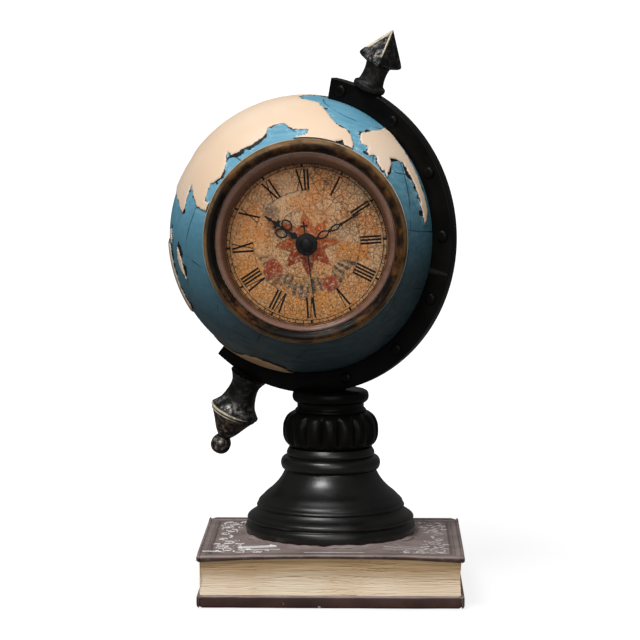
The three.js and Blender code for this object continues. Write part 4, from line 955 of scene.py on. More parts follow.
# %% Bezel
bezel_bore, bezel_rim, bezel_height = 45.6, 51.4, 6.0
seated = seat_depth + 0.02
bezel_outline = np.vstack([
    [(0, 0), (1, 0)],
    eased([
        (1, 0.02), (1, 0.34), (0.955, 0.55), (0.85, 0.77), (0.7, 0.93), (0.55, 0.99), (0.38, 0.985),
        (0.22, 0.9), (0.1, 0.76), (0, 0.56),
    ]),
    [(0, 0)],
])
bezel_profile = [
    (bezel_bore + r * (bezel_rim - bezel_bore), seated + h * bezel_height) for r, h in bezel_outline
]
bezel_mesh = turned(bezel_profile, 180)
add_piece("bezel_moulding", *bezel_mesh, bronze, "bronze", "bezel", place=globe_front_frame, sharp=50)

# %% Plum lacquer
plum = Finish("plum_paint", roughness=0.26, Specular_IOR_Level=0.38)
# Painted highlight and shade on one lacquer: the outer crest is lighter, the inner slope darker.
crest_painted_light = plum.band(off_bore_axis(plum), 41.8 * MM, 43.6 * MM)
plum_tone = plum.blend(crest_painted_light, (0.095, 0.037, 0.016), (0.2, 0.1, 0.068))
plum_cloud = plum.band(plum.noise(90.0, 4.0), 0.35, 0.7, 0.0, 0.4)
plum_tone = plum.blend(plum_cloud, plum_tone, (0.055, 0.024, 0.012))
plum.set(Base_Color=plum_tone, Roughness=plum.band(plum.noise(300.0, 4.0), 0.3, 0.7, 0.22, 0.32))
plum.bump(plum.noise(200.0, 3.0), 0.2, 0.0001)

# %% Trim ring, from the window at share 0 to the bore at share 1
ring_height, ring_outer, ring_inner = 2.6, 45.15, 40.98
ring_outline = np.vstack([
    [(0, 0), (1, 0)],
    eased([
        (1, 0.05), (1, 0.9), (0.94, 0.985), (0.82, 1.0), (0.66, 0.975), (0.45, 0.88), (0.25, 0.69),
        (0.08, 0.45), (0, 0.28),
    ]),
    [(0, 0)],
])
ring_turn = full_turn(160)
window_off = np.array([(dial_centre.x - globe_centre.x) / MM, (dial_centre.z - globe_centre.z) / MM, 0])
ring_rows = []
for share, height in ring_outline:
    reach = share * ring_outer + (1 - share) * ring_inner
    row = ring_row(reach, seated + height * ring_height, ring_turn)
    ring_rows.append((row + (1 - share) * window_off) * MM)
ring_faces = grid_faces(len(ring_rows), len(ring_turn))
add_piece(
    "trim_ring", np.concatenate(ring_rows), ring_faces, plum, "plum", "insert_ring",
    place=globe_front_frame, sharp=50,
)

# %% [markdown]
# ## The dial
#
# The dial is a paper print under cracked varnish. Its ground is ochre parchment that browns towards the
# edge. On it lie worn patches of brick red and slate blue. The real print is a picture, so this one has a
# plain design of its own: a compass star, two brick-red discs, a band of slate bars and loose blocks of
# colour. It could be cut as many small shapes. Drawn in the material instead, its edges can fray and fade as
# print does. The Roman numerals and the minute track are ink shapes a hair above the paper.

# %% Group: place on the dial
def length_of(tree, x, y):
    return tree.maths("SQRT", tree.plus(tree.times(x, x), tree.times(y, y)))


dial_twist = math.radians(3.7)
dial_place = Group("dial_place", ["Across", "Up", "Radius", "Turn"])
from_middle = dial_place.vector("SUBTRACT", dial_place.place(), tuple(dial_centre))
across_mm, up_mm = (dial_place.maths("DIVIDE", dial_place.part(from_middle, axis), MM) for axis in "XZ")
dial_place.gives(
    Across=across_mm, Up=up_mm, Radius=length_of(dial_place, across_mm, up_mm),
    Turn=dial_place.plus(dial_place.maths("ARCTAN2", across_mm, up_mm), dial_twist),
)

# %% Dial print
ink = Finish("dial_print", roughness=0.55, Specular_IOR_Level=0.12)
across, up, radius, turn = (ink.use(dial_place, label) for label in ("Across", "Up", "Radius", "Turn"))
smudge = ink.noise(160.0, 4.0, 0.65)
drift = ink.swing(smudge, 5.0)
loose_across, loose_up = ink.plus(across, drift), ink.plus(up, drift)


def patch(x0, x1, y0, y1, soft=1.2):
    """A loose rectangle of colour, in millimetres from the middle of the dial."""
    mask = 1.0
    for place, low, high in ((loose_across, x0, x1), (loose_up, y0, y1)):
        mask = ink.times(mask, ink.band(place, low - soft, low + soft))
        mask = ink.times(mask, ink.band(place, high - soft, high + soft, 1.0, 0.0))
    return mask


def disc_patch(x, y, size, soft=1.0):
    away = ink.plus(length_of(ink, ink.minus(across, x), ink.minus(up, y)), ink.times(drift, 0.6))
    return ink.band(away, size - soft, size + soft, 1.0, 0.0)


worn = ink.band(ink.noise(420.0, 5.0, 0.7), 0.34, 0.54, 0.45, 1.0)
broad = ink.band(ink.noise(55.0, 4.0, 0.6), 0.35, 0.65)
ground = ink.blend(broad, (0.95, 0.38, 0.13), (1.0, 0.63, 0.37))
low_share = ink.band(ink.plus(up, ink.times(across, 0.3)), -34.0, 12.0, 0.75, 0.0)
ground = ink.blend(low_share, ground, (0.95, 0.38, 0.08))
ground = ink.blend(ink.times(ink.band(radius, 30.0, 41.0), 0.3), ground, (0.5, 0.25, 0.1))

# The compass star: its outline is a radius that swings with the angle, eight times round.
star_swing = ink.maths("ABSOLUTE", ink.maths("SINE", ink.times(turn, 4.0)))
star_edge = ink.minus(16.5, ink.times(star_swing, 7.0))
star_gap = ink.plus(ink.minus(radius, star_edge), ink.times(drift, 0.5))
star_fill = ink.band(star_gap, -0.8, 0.6, 1.0, 0.0)
star_line = ink.band(ink.maths("ABSOLUTE", star_gap), 0.1, 0.6, 1.0, 0.0)

# A band of slate runs in waves round the lower half, cut up into short bars.
bars = ink.band(ink.maths("SINE", ink.times(turn, 44.0)), -0.4, 0.3)
wave_swing = ink.times(ink.maths("SINE", ink.times(turn, 9.0)), 1.6)
wave_place = ink.plus(ink.plus(radius, wave_swing), ink.times(drift, 0.3))
wave_band = ink.times(ink.band(wave_place, 18.6, 19.6), ink.band(wave_place, 25.5, 27.0, 1.0, 0.0))
wave_band = ink.times(wave_band, ink.band(up, -9.0, -3.0, 1.0, 0.0))
wave_band = ink.times(wave_band, ink.plus(0.35, ink.times(bars, 0.65)))
colours = [
    (star_fill, (0.78, 0.13, 0.02), 0.95),
    (ink.times(star_fill, ink.band(up, -6.0, 1.0, 1.0, 0.0)), (0.4, 0.035, 0.015), 0.85),
    (wave_band, (0.06, 0.075, 0.08), 0.95),
    (disc_patch(-17, -13, 4.6), (0.55, 0.06, 0.025), 0.95),
    (disc_patch(12, -20, 4.2), (0.58, 0.07, 0.03), 0.9),
    (patch(-22, -14, 13, 19), (0.13, 0.14, 0.14), 0.7),
    (disc_patch(-17, 8, 3.6), (0.62, 0.16, 0.07), 0.55),
    (patch(15, 33, -8, 1), (0.88, 0.28, 0.03), 0.8),
    (patch(20, 27, 9, 17), (0.25, 0.22, 0.18), 0.25),
]
print_tone = ground
for mask, colour, strength in colours:
    print_tone = ink.blend(ink.times(ink.times(mask, worn), strength), print_tone, colour)
ring_gaps = [ink.maths("ABSOLUTE", ink.minus(radius, ring)) for ring in (17.4, 27.0)]
rings = ink.maths("MINIMUM", *ring_gaps)
drawn = ink.maths("MAXIMUM", star_line, ink.band(rings, 0.1, 0.4, 1.0, 0.0))
faded = ink.band(ink.noise(110.0, 3.0), 0.42, 0.62, 0.1, 0.8)
print_tone = ink.blend(ink.times(drawn, faded), print_tone, (0.1, 0.07, 0.05))
grit = ink.band(ink.noise(950.0, 2.0, 0.6), 0.5, 0.66)
print_tone = ink.blend(ink.times(grit, 0.62), print_tone, (0.15, 0.045, 0.012))
pale_grit = ink.band(ink.noise(720.0, 2.0, 0.6), 0.3, 0.46, 1.0, 0.0)
print_tone = ink.blend(ink.times(pale_grit, 0.6), print_tone, (1.0, 0.82, 0.55))
fine_cracks = ink.use(crackle, "Mask", Scale=560.0, Line=0.13, Wander=0.0008)
wide_cracks = ink.use(crackle, "Mask", Scale=230.0, Line=0.07, Wander=0.0014)
upper_right = ink.plus(ink.plus(up, across), ink.times(drift, 5.0))
wide_area = ink.band(upper_right, 14.0, 30.0)
fine_share = ink.band(ink.noise(60.0, 3.0), 0.35, 0.6, 0.25, 0.75)
cracks = ink.maths("MAXIMUM", ink.times(fine_cracks, fine_share), ink.times(wide_cracks, wide_area))
print_tone = ink.blend(ink.times(cracks, 0.85), print_tone, (0.05, 0.022, 0.01))
ink.set(Base_Color=print_tone, Roughness=ink.band(smudge, 0.3, 0.7, 0.45, 0.65))
ink.bump(ink.times(cracks, -1.0), 0.3, 0.0001)

# %% Ink for the numerals and paint for the hands
numeral_ink = Finish("ink_black", roughness=0.6, Specular_IOR_Level=0.1)
worn_ink = numeral_ink.band(numeral_ink.noise(900.0, 4.0, 0.7), 0.3, 0.5)
numeral_ink.set(Base_Color=numeral_ink.blend(worn_ink, (0.05, 0.026, 0.014), (0.006, 0.004, 0.003)))
numeral_ink.bump(worn_ink, 0.1, 0.00005)

hand_black = Finish("hand_paint", roughness=0.45, Specular_IOR_Level=0.25)
hand_cloud = hand_black.band(hand_black.noise(300.0, 4.0), 0.35, 0.65)
hand_black.set(
    Base_Color=hand_black.blend(hand_cloud, (0.003, 0.003, 0.0028), (0.008, 0.0075, 0.007)),
    Roughness=hand_black.band(hand_black.noise(700.0, 3.0), 0.3, 0.7, 0.36, 0.55),
)
hand_black.bump(hand_black.noise(900.0, 3.0), 0.2, 0.00005)

# %% Numerals and the minute track
numeral_in, numeral_out = 27.2, 37.8
thick, thin, stroke_gap = 1.0, 0.46, 1.65
numeral_words = ["XII", "I", "II", "III", "IIII", "V", "VI", "VII", "VIII", "IX", "X", "XI"]
letter_widths = {"I": stroke_gap, "V": 3.4, "X": 3.8}


def bar(x0, y0, x1, y1, width):
    """A straight stroke between two heights, as wide as said where it meets them."""
    return [(x0 - width / 2, y0), (x0 + width / 2, y0), (x1 + width / 2, y1), (x1 - width / 2, y1)]


def letter(kind, x):
    y0, y1 = numeral_in, numeral_out
    serif = thin / 2
    if kind == "I":
        return [
            bar(x, y0, x, y1, thick),
            bar(x, y0, x, y0 + serif, stroke_gap * 0.92),
            bar(x, y1 - serif, x, y1, stroke_gap * 0.92),
        ]
    if kind == "V":
        return [
            bar(x - 1.25, y1, x - 0.1, y0, thick),
            bar(x + 1.25, y1, x + 0.1, y0, thin),
            bar(x - 1.25, y1 - serif, x - 1.45, y1, 1.7),
            bar(x + 1.25, y1 - serif, x + 1.45, y1, 1.5),
        ]
    return [
        bar(x - 1.3, y1, x + 1.4, y0, thick),
        bar(x + 1.3, y1, x - 1.4, y0, thin),
        bar(x - 1.3, y1 - serif, x - 1.4, y1, 1.6),
        bar(x + 1.3, y1 - serif, x + 1.4, y1, 1.6),
        bar(x - 1.3, y0, x - 1.4, y0 + serif, 1.6),
        bar(x + 1.3, y0, x + 1.4, y0 + serif, 1.6),
    ]


ink_points, ink_faces = [], []
paper = (globe_centre.y - dial_front) / MM


def ink_quad(corners, turn, lift):
    start = len(ink_points)
    c, s = math.cos(-turn), math.sin(-turn)
    for x, y in corners:
        ink_points.append(((x * c - y * s) * MM, (x * s + y * c) * MM, (paper + lift) * MM))
    ink_faces.append(tuple(range(start, start + len(corners))))


for hour, word in enumerate(numeral_words):
    turn_angle = math.radians(30 * hour)
    widths = [letter_widths[kind] for kind in word]
    x = -sum(widths) / 2
    for kind, width in zip(word, widths):
        for number, corners in enumerate(letter(kind, x + width / 2)):
            ink_quad(corners, turn_angle, 0.03 + 0.004 * number)
        x += width
for track_radius, half in ((38.9, 0.17), (40.6, 0.2)):
    low, high = track_radius - half, track_radius + half
    for degrees in range(0, 360, 2):
        a, b = math.radians(degrees), math.radians(degrees + 2)
        corners = ((a, low), (b, low), (b, high), (a, high))
        ink_quad([(r * math.sin(angle), r * math.cos(angle)) for angle, r in corners], 0, 0.02)
for minute in range(60):
    y0, y1, width, lift = (38.9, 40.6, 0.32, 0.024) if minute % 5 else (38.7, 40.8, 1.1, 0.026)
    ink_quad(bar(0, y0, 0, y1, width), math.radians(6 * minute), lift)
numerals_place = dial_frame @ Matrix.Rotation(dial_twist, 4, "Z")
add_piece("dial_numerals", ink_points, ink_faces, numeral_ink, "dial", place=numerals_place, weld=False)

# %% [markdown]
# ## The hands
#
# The hands are stamped from thin sheet and painted black. The hour hand has a pair of loops and a leafy
# tip, the minute hand two lozenge loops, and the second hand a small cross on its tail. A domed hub covers
# their middles. One outline per hand would be hard to write and to change, so each is a stack of simple
# plates that overlap. Each hand rides on its own body, set about the dial's axis.

# %% Hand helpers
plate_step = 0.01


def mirrored(half):
    """A whole outline from its right half, whose points run upwards."""
    return [*half, *[(-x, y) for x, y in reversed(half) if x]]


def prism(outline, low, high, hole=None):
    """A flat plate from an outline in the dial's plane, with an optional hole of as many points."""
    count = len(outline)
    loops = [outline, hole] if hole else [outline]
    points = [(x * MM, y * MM, h * MM) for loop in loops for h in (low, high) for x, y in loop]
    if not hole:
        return points, grid_faces(2, count) + end_faces(2, count)
    faces = []
    for i in range(count):
        j = (i + 1) % count
        faces += [
            (i, j, 2 * count + j, 2 * count + i),
            (count + j, count + i, 3 * count + i, 3 * count + j),
            (j, i, count + i, count + j),
            (2 * count + i, 2 * count + j, 3 * count + j, 3 * count + i),
        ]
    return points, faces


def loop_plate(length, low, high, x, y, rx, ry, width, lean=0.0, point=0.0):
    """A ring, drawn out to a point at its far end by `point` and leaning by `lean` degrees."""
    c, s = math.cos(math.radians(lean)), math.sin(math.radians(lean))

    def line(narrower):
        made = []
        for a in full_turn(40):
            px, py = (rx * length - narrower) * math.sin(a), (ry * length - narrower) * math.cos(a)
            px *= 1 - point * max(0.0, math.cos(a)) ** 2
            made.append((x * length + px * c + py * s, y * length - px * s + py * c))
        return made

    return prism(line(0), low, high, line(width))


def hand_plates(length, back, front, shapes):
    """Plates that overlap: each lies a hair lower than the one before, so that no two faces coincide."""
    plates = []
    for number, shape in enumerate(shapes, 1):
        top = front - plate_step * number
        if isinstance(shape, dict):
            plates.append(loop_plate(length, back, top, **shape))
        else:
            plates.append(prism(mirrored([(x * length, y * length) for x, y in shape]), back, top))
    return plates


def hand_piece(name, node, body, parts, angle):
    place = dial_frame @ Matrix.Rotation(-math.radians(angle), 4, "Z")
    add_piece(name, *gather(parts), hand_black, "hands", node, body=body, place=place, sharp=35)


def hand_depths(node):
    low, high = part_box(node)
    return (globe_centre.y - high.y) / MM, (globe_centre.y - low.y) / MM

# %% Hour hand
hour_length, hour_ring, hour_hole = 27.0, 5.6, 2.9
hour_back, hour_front = hand_depths("hour_hand")
ring_line, hole_line = (
    [(r * math.cos(a), r * math.sin(a)) for a in full_turn(48)] for r in (hour_ring, hour_hole)
)
hour_loop = {"y": 0.505, "rx": 0.094, "ry": 0.12, "width": 0.85}
hour_shapes = [
    [(0.021, 0.18), (0.016, 0.8), (0, 1)],
    [(0, 0.2), (0.055, 0.25), (0.07, 0.3), (0.035, 0.34), (0.022, 0.41)],
    {"x": 0.092, "lean": 14, **hour_loop},
    {"x": -0.092, "lean": -14, **hour_loop},
    [
        (0, 0.6), (0.04, 0.64), (0.1, 0.63), (0.085, 0.67), (0.1, 0.71), (0.045, 0.695), (0.03, 0.74),
        (0, 0.8),
    ],
    [(0, 0.77), (0.045, 0.82), (0.026, 0.86), (0.014, 0.92), (0, 0.96)],
]
hour_parts = [
    prism(ring_line, hour_back, hour_front, hole_line),
    *hand_plates(hour_length, hour_back, hour_front, hour_shapes),
]
hand_piece("hour_hand_painted", "hour_hand", "hour", hour_parts, 303.8)

# %% Minute hand
minute_length, minute_hole = 32.5, 1.9
minute_back, minute_front = hand_depths("minute_hand")
minute_shapes = [
    [(0.02, 0.12), (0.024, 0.2), (0, 0.22)],
    {"x": 0, "y": 0.305, "rx": 0.062, "ry": 0.105, "width": 0.85, "point": 0.55},
    [(0, 0.385), (0.034, 0.415), (0.014, 0.44)],
    {"x": 0, "y": 0.52, "rx": 0.05, "ry": 0.088, "width": 0.8, "point": 0.35},
    [(0, 0.585), (0.03, 0.615), (0.017, 0.65), (0.014, 0.9), (0.004, 1)],
]
minute_disc = [
    (minute_hole, minute_back), (4.9, minute_back), (5.1, minute_back + 0.12), (5.1, minute_front - 0.16),
    (4.85, minute_front), (minute_hole, minute_front), (minute_hole, minute_back),
]
minute_parts = [
    turned(minute_disc, 48), *hand_plates(minute_length, minute_back, minute_front, minute_shapes)
]
hand_piece("minute_hand_painted", "minute_hand", "minute", minute_parts, 59.6)

# %% Second hand and hub
second_back, second_top = hand_depths("second_hand")
second_front = second_back + 0.4
hub_profile = [
    (0.9, second_back), (3.2, second_back), (3.3, second_back + 0.1), (3.3, second_front),
    (3.15, second_front + 0.3), (2.5, second_top - 0.22), (1.4, second_top - 0.05), (0, second_top),
]
second_shapes = [
    (0, [(0.3, -11), (0.3, 0)]),
    (0.004, [(0.42, 0), (0.17, 34)]),
    (0.01, [(0, -9.7), (1.5, -9.95), (1.9, -9.75), (1.9, -8.95), (1.5, -8.75), (0, -9.0)]),
    (0.02, [(0, -11.9), (0.42, -11.4), (0.36, -7.4), (0, -7.0)]),
]
second_parts = [turned(hub_profile, 40)]
for lower, half in second_shapes:
    second_parts.append(prism(mirrored(half), second_back, second_front - lower))
hand_piece("second_hand_painted", "second_hand", "second", second_parts, 172.4)

# %% [markdown]
# ## The pedestal
#
# The pedestal is turned: a wide foot of stacked mouldings, a gadrooned bulb with sixteen lobes and a
# collar. All of it is the same satin black. A turned mesh with the lobes cut in would need many cuts, so the
# bulb's rows are drawn in and out round the axis instead. The foot's lowest edge is not quite even, because
# the casting was bedded on the book by hand.

# %% Foot
foot_radius, foot_height = 44.6, 45.6
foot_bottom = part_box("pedestal_foot")[0].z / MM + 3
foot_outline = np.vstack([
    eased([(0.97, 0.0), (0.99, 0.012), (1.0, 0.05), (0.998, 0.095), (0.985, 0.13), (0.962, 0.15)]),
    eased([(0.958, 0.158), (0.972, 0.17), (0.978, 0.19), (0.968, 0.215), (0.94, 0.238)]),
    eased([(0.93, 0.245), (0.905, 0.26), (0.875, 0.285), (0.858, 0.31)]),
    eased([(0.862, 0.318), (0.868, 0.332), (0.86, 0.348)]),
    eased([
        (0.852, 0.354), (0.848, 0.375), (0.832, 0.4), (0.8, 0.43), (0.758, 0.472), (0.7, 0.518),
        (0.655, 0.56), (0.61, 0.61), (0.572, 0.665), (0.545, 0.715), (0.536, 0.735),
    ]),
    eased([
        (0.54, 0.742), (0.566, 0.758), (0.58, 0.79), (0.584, 0.82), (0.577, 0.855), (0.556, 0.884),
        (0.525, 0.898),
    ]),
    eased([(0.508, 0.902), (0.514, 0.918), (0.516, 0.94), (0.505, 0.968), (0.487, 0.998)]),
    [(0.18, 1.0), (0, 1.0)],
])


def round_noise(turn, size, seed):
    """Noise round a circle, whose end meets its start."""
    return np.array([noise.noise(Vector((size * math.cos(a), size * math.sin(a), seed))) for a in turn])


def add_on_foot_axis(name, rows, finish, slot, node, sharp, closed_rows=False):
    faces = grid_faces(len(rows), len(rows[0]), closed_rows)
    add_piece(name, np.concatenate(rows) * MM, faces, finish, slot, node, place=on_foot_axis, sharp=sharp)


foot_turn = full_turn(192)
wave = round_noise(foot_turn, 3, 7) + 0.5 * round_noise(foot_turn, 8, 2)
foot_rows = [ring_row(0, foot_bottom, foot_turn)]
for r, h in foot_outline:
    near_floor = max(0.0, 1 - h / 0.1) ** 1.5
    uneven = r * foot_radius * (1 - 0.016 * near_floor * (0.6 + wave))
    foot_rows.append(ring_row(uneven, foot_bottom + h * foot_height, foot_turn))
add_on_foot_axis("foot", foot_rows, black, "black", "pedestal_foot", 38)

# %% Bulb with its lobes
bulb_bottom, bulb_height, bulb_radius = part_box("pedestal_bulb")[0].z / MM, 18.5, 25.0
lobes, lobe_steps, lobe_depth = 16, 16, 0.11
bulb_outline = eased([
    (0.8, 0), (0.885, 0.05), (0.955, 0.16), (0.995, 0.32), (1, 0.5), (0.985, 0.68), (0.93, 0.85),
    (0.86, 0.95), (0.79, 1),
], 5)
bulb_turn = full_turn(lobes * lobe_steps)
groove = (1 - np.abs(np.cos((bulb_turn + math.pi / 2) * lobes / 2))) ** 1.4
bulb_rows = []
for r, h in [(0, 0), *bulb_outline, (0, 1)]:
    depth = lobe_depth * max(0.0, math.sin(math.pi * h)) ** 0.6
    bulb_rows.append(
        ring_row(r * bulb_radius * (1 - depth * groove), bulb_bottom + h * bulb_height, bulb_turn)
    )
add_on_foot_axis("bulb", bulb_rows, black, "black", "pedestal_bulb", 60)

# %% Collar, with the slot that the arc stands in
collar_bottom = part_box("pedestal_collar")[0].z / MM
collar_radius, collar_height = 20.0, 11.5
slot_slack, slot_inner, slot_from, slot_to = 0.25, arc_inner - 12, 150, 215
collar_outline = np.vstack([
    [(0, 0)],
    eased([(0.9, 0), (0.925, 0.03), (0.93, 0.08), (0.915, 0.13)]),
    eased([(0.885, 0.17), (0.872, 0.22), (0.872, 0.34), (0.885, 0.42)]),
    eased([(0.93, 0.46), (0.975, 0.54), (0.998, 0.66), (0.995, 0.8), (0.965, 0.92), (0.9, 0.985)]),
    [(0.86, 1.0), (0, 1.0)],
])
collar_mesh = turned(scaled(collar_outline, collar_radius, collar_height, collar_bottom), 128)
collar = add_piece(
    "collar", *collar_mesh, black, "black", "pedestal_collar", place=on_foot_axis, sharp=38
)
slot_half = arc_half + slot_slack
slot_section = rounded_loop(slot_inner, -slot_half, arc_outer + 0.3, slot_half, 0.3, 2)
slot_mesh = solid_mesh("slot_cutter", *swept(slot_section, slot_from, slot_to, 40), arc_frame, weld=False)
slot_cutter = new_object("slot_cutter", slot_mesh)
cut = collar.modifiers.new("slot", "BOOLEAN")
cut.object = slot_cutter
cut.operation = "DIFFERENCE"
cut.solver = "EXACT"
collar_cut = bpy.data.meshes.new_from_object(collar.evaluated_get(bpy.context.evaluated_depsgraph_get()))
collar.modifiers.clear()
collar.data = collar_cut
bpy.data.objects.remove(slot_cutter)
print("collar faces:", len(collar.data.polygons))

# %% [markdown]
# ## The book
#
# The closed book is one more casting. Its covers are mauve brown with soft, slightly wavy edges. The upper
# cover carries an embossed border and scrollwork, which a dry brush has picked out in silver white. The
# pages are cream with long uneven brown lines, where a wash has settled between the leaves. The embossing
# could be a texture alone; as a height at each point of a fine grid, it also tells the paint where to lie.

# %% Cover finish
cover = Finish("cover_paint", roughness=0.42, Specular_IOR_Level=0.35)
up_face = cover.part(cover.put("NewGeometry", output=1), "Z")
height_z = cover.part(cover.spot, "Z")
cover_cloud = cover.band(cover.noise(40.0, 4.0), 0.3, 0.7)
# Lit and shaded copies of one cover colour: tops lit, sides in painted shade, darker again low down.
top_lit_tone = cover.blend(cover_cloud, (0.215, 0.165, 0.152), (0.36, 0.28, 0.26))
side_shade_tone = cover.blend(cover_cloud, (0.05, 0.027, 0.021), (0.095, 0.056, 0.045))
lower_shade_tone = cover.blend(cover_cloud, (0.036, 0.015, 0.011), (0.078, 0.036, 0.029))
side_shade_tone = cover.blend(cover.band(height_z, 7 * MM, 12 * MM), lower_shade_tone, side_shade_tone)
cover_tone = cover.blend(cover.band(up_face, 0.2, 0.75), side_shade_tone, top_lit_tone)
cover_rub = cover.use(edge_rub, "Mask", Start=0.52, Width=0.05, Breakup=0.7, Scale=150.0)
cover_tone = cover.blend(cover.times(cover_rub, 0.3), cover_tone, (0.3, 0.25, 0.24))
raised = cover.attribute("raised")
smear = cover.attribute("smear")
hollow = cover.band(raised, 0.02, 0.35, 1.0, 0.0)
near_scroll = cover.times(cover.band(raised, 0.0, 0.04), hollow)
cover_tone = cover.blend(cover.times(near_scroll, 0.6), cover_tone, (0.03, 0.02, 0.018))
chalk_break = cover.band(cover.noise(260.0, 4.0, 0.7), 0.44, 0.52)
chalk = cover.times(cover.band(raised, 0.25, 0.5), chalk_break)
smear_noise = cover.swing(cover.noise(150.0, 5.0, 0.7), 2.2)
chalk = cover.maths("MAXIMUM", chalk, cover.band(cover.plus(smear, smear_noise), 0.5, 0.62))
chip_place = cover.vector("MULTIPLY", cover.spot, (0.35, 1.0, 1.0))
chips = cover.band(cover.grain(chip_place, 210.0, 3.0), 0.66, 0.7)
chip_rows = cover.times(chips, cover.band(height_z, 0.8 * MM, 2.4 * MM, 0.9, 0.0))
chalk = cover.maths("MAXIMUM", chalk, chip_rows)
to_right = cover.band(cover.part(cover.spot, "X"), -10 * MM, 50 * MM)
chalk_tone = cover.blend(to_right, (1.0, 0.99, 0.99), (0.6, 0.57, 0.56))
cover_tone = cover.blend(cover.times(chalk, 0.95), cover_tone, chalk_tone)
cover.set(Base_Color=cover_tone, Roughness=cover.band(cover.noise(120.0, 4.0), 0.3, 0.7, 0.34, 0.5))
cover.bump(cover.noise(260.0, 5.0, 0.6), 0.3, 0.0002)

# %% Bead of cover paint round the foot
# The foot was bedded in the cover's own resin, and what squeezed out lies round it as an uneven bead.
bead_turn = full_turn(360)
bead_swell = 0.5 + 0.8 * round_noise(bead_turn, 3, 1) + 0.6 * round_noise(bead_turn, 8, 4)
bead_swell = np.clip(bead_swell, 0.05, 1.2)
bead_low, bead_inner, bead_outer = book_top / MM - 0.1, 42.0, 44.1
bead_rows = []
for angle in np.linspace(0, math.pi / 2, 9):
    reach = bead_outer + (0.5 + 2.0 * bead_swell) * math.cos(angle) ** 2
    lift = 0.1 + (0.2 + 1.1 * bead_swell) * math.sin(angle) ** 1.2
    bead_rows.append(ring_row(reach, bead_low + lift, bead_turn))
bead_rows.append(ring_row(bead_inner, bead_rows[-1][:, 2], bead_turn))
bead_rows.append(ring_row(bead_inner, bead_low, bead_turn))
add_on_foot_axis("cover_bead", bead_rows, cover, "cover", None, 40, closed_rows=True)

# %% Scrollwork of the upper cover
cover_low, cover_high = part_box("book_upper_cover")
cover_x, cover_front, cover_back = cover_high.x / MM, cover_low.y / MM, cover_high.y / MM
scroll_points, scroll_widths = [], []
leaf_bend, leaf_width = 0.5, 1.45


# Each spiral: its middle, first and last radius, first angle, turns and width.
corner_spirals = (
    (9, 10, 5.2, 1.0, -100, -1.35, 1.25), (16.5, 6.5, 3.4, 0.7, 170, 1.3, 1.05),
    (6.2, 19.5, 3.6, 0.8, -60, 1.3, 1.05), (8.5, 29, 4.2, 0.9, 100, -1.3, 1.1),
    (5.8, 38.5, 3.2, 0.7, -80, 1.25, 1.0), (24.5, 5.8, 3.0, 0.7, 20, -1.25, 1.0),
)
# Each leaf: its foot, direction and length.
corner_leaves = (
    (13, 14, 40, 5.0), (12.5, 20, 10, 4.5), (13.5, 26, -25, 4.0), (5.5, 13.5, 120, 3.5),
    (20, 11.5, 55, 3.8), (12.5, 33.5, 30, 4.0), (9.5, 43.5, 60, 3.5), (4.8, 25, 160, 2.8),
    (29.5, 7.8, 35, 3.2), (16, 17.5, 80, 3.5),
)


def stroke(points, width):
    """A tapering line of scrollwork."""
    points = eased(points, 10)
    scroll_points.extend(points)
    scroll_widths.extend(width * (1 - 0.65 * share) for share in np.linspace(0, 1, len(points)))


def spiral(x, y, big, small, start, turns, width):
    line = []
    for share in np.linspace(0, 1, max(8, int(abs(turns) * 14)) + 1):
        r = big + (small - big) * share
        a = math.radians(start + 360 * turns * share)
        line.append((x + r * math.cos(a), y + r * math.sin(a)))
    stroke(line, width)


def corner_scroll(flip_x, flip_y, x0, y0):
    """One corner's ornament, drawn for the front left corner and mirrored for the others."""
    before = len(scroll_points)
    for numbers in corner_spirals:
        spiral(*numbers)
    for x, y, angle, length in corner_leaves:
        a = math.radians(angle)
        half_way = (x + 0.5 * length * math.cos(a), y + 0.5 * length * math.sin(a))
        tip = (x + length * math.cos(a + leaf_bend), y + length * math.sin(a + leaf_bend))
        stroke([(x, y), half_way, tip], leaf_width)
    for i in range(before, len(scroll_points)):
        x, y = scroll_points[i]
        scroll_points[i] = (x0 + flip_x * x, y0 + flip_y * y)


border, line_half, line_height = 5.2, 0.55, 0.62
inner_border, inner_half, inner_height = border + 1.6, 0.4, 0.45
for flip_x in (1, -1):
    for flip_y in (1, -1):
        corner_y = cover_front + border if flip_y > 0 else cover_back - border
        corner_scroll(flip_x, flip_y, -flip_x * (cover_x - border), corner_y)
scroll_tree = kdtree.KDTree(len(scroll_points))
for number, (x, y) in enumerate(scroll_points):
    scroll_tree.insert((x, y, 0), number)
scroll_tree.balance()


def cover_field(x, y):
    """Height share of the embossing at a place on the cover, 0 flat to 1 raised."""
    inset = min(cover_x - abs(x), y - cover_front, cover_back - y)
    line = max(0.0, 1 - abs(inset - border) / line_half) * line_height
    inner = max(0.0, 1 - abs(inset - inner_border) / inner_half) * inner_height
    _, number, away = scroll_tree.find((x, y, 0))
    ornament = max(0.0, 1 - away / scroll_widths[number])
    height = max(line, inner, ornament)
    return height * height * (3 - 2 * height)

# %% Make a cover board
front_reach, front_rise = 16.0, 2.0
wave_reach = 14
bare_radius = 48.5
emboss_depth, edge_ramp = 0.5, 1.6


def front_lift(x, y):
    """How far the pages and the lip above them rise in the middle of the front edge, in mm."""
    near_front = max(0.0, 1 - (y - cover_front) / front_reach)
    return front_rise * max(0.0, 1 - (x / cover_x) ** 2) * near_front


def rounded_ends(soft, between, steps=5):
    """Rows of a board along x: each has its place and how far the section is inset at a rounded end."""
    angles = [math.radians(90 * i / steps) for i in range(steps + 1)]
    left = [(-cover_x + soft * (1 - math.sin(a)), soft * (1 - math.cos(a))) for a in angles]
    return left + [(x, 0.0) for x in between] + [(-x, inset) for x, inset in reversed(left)]


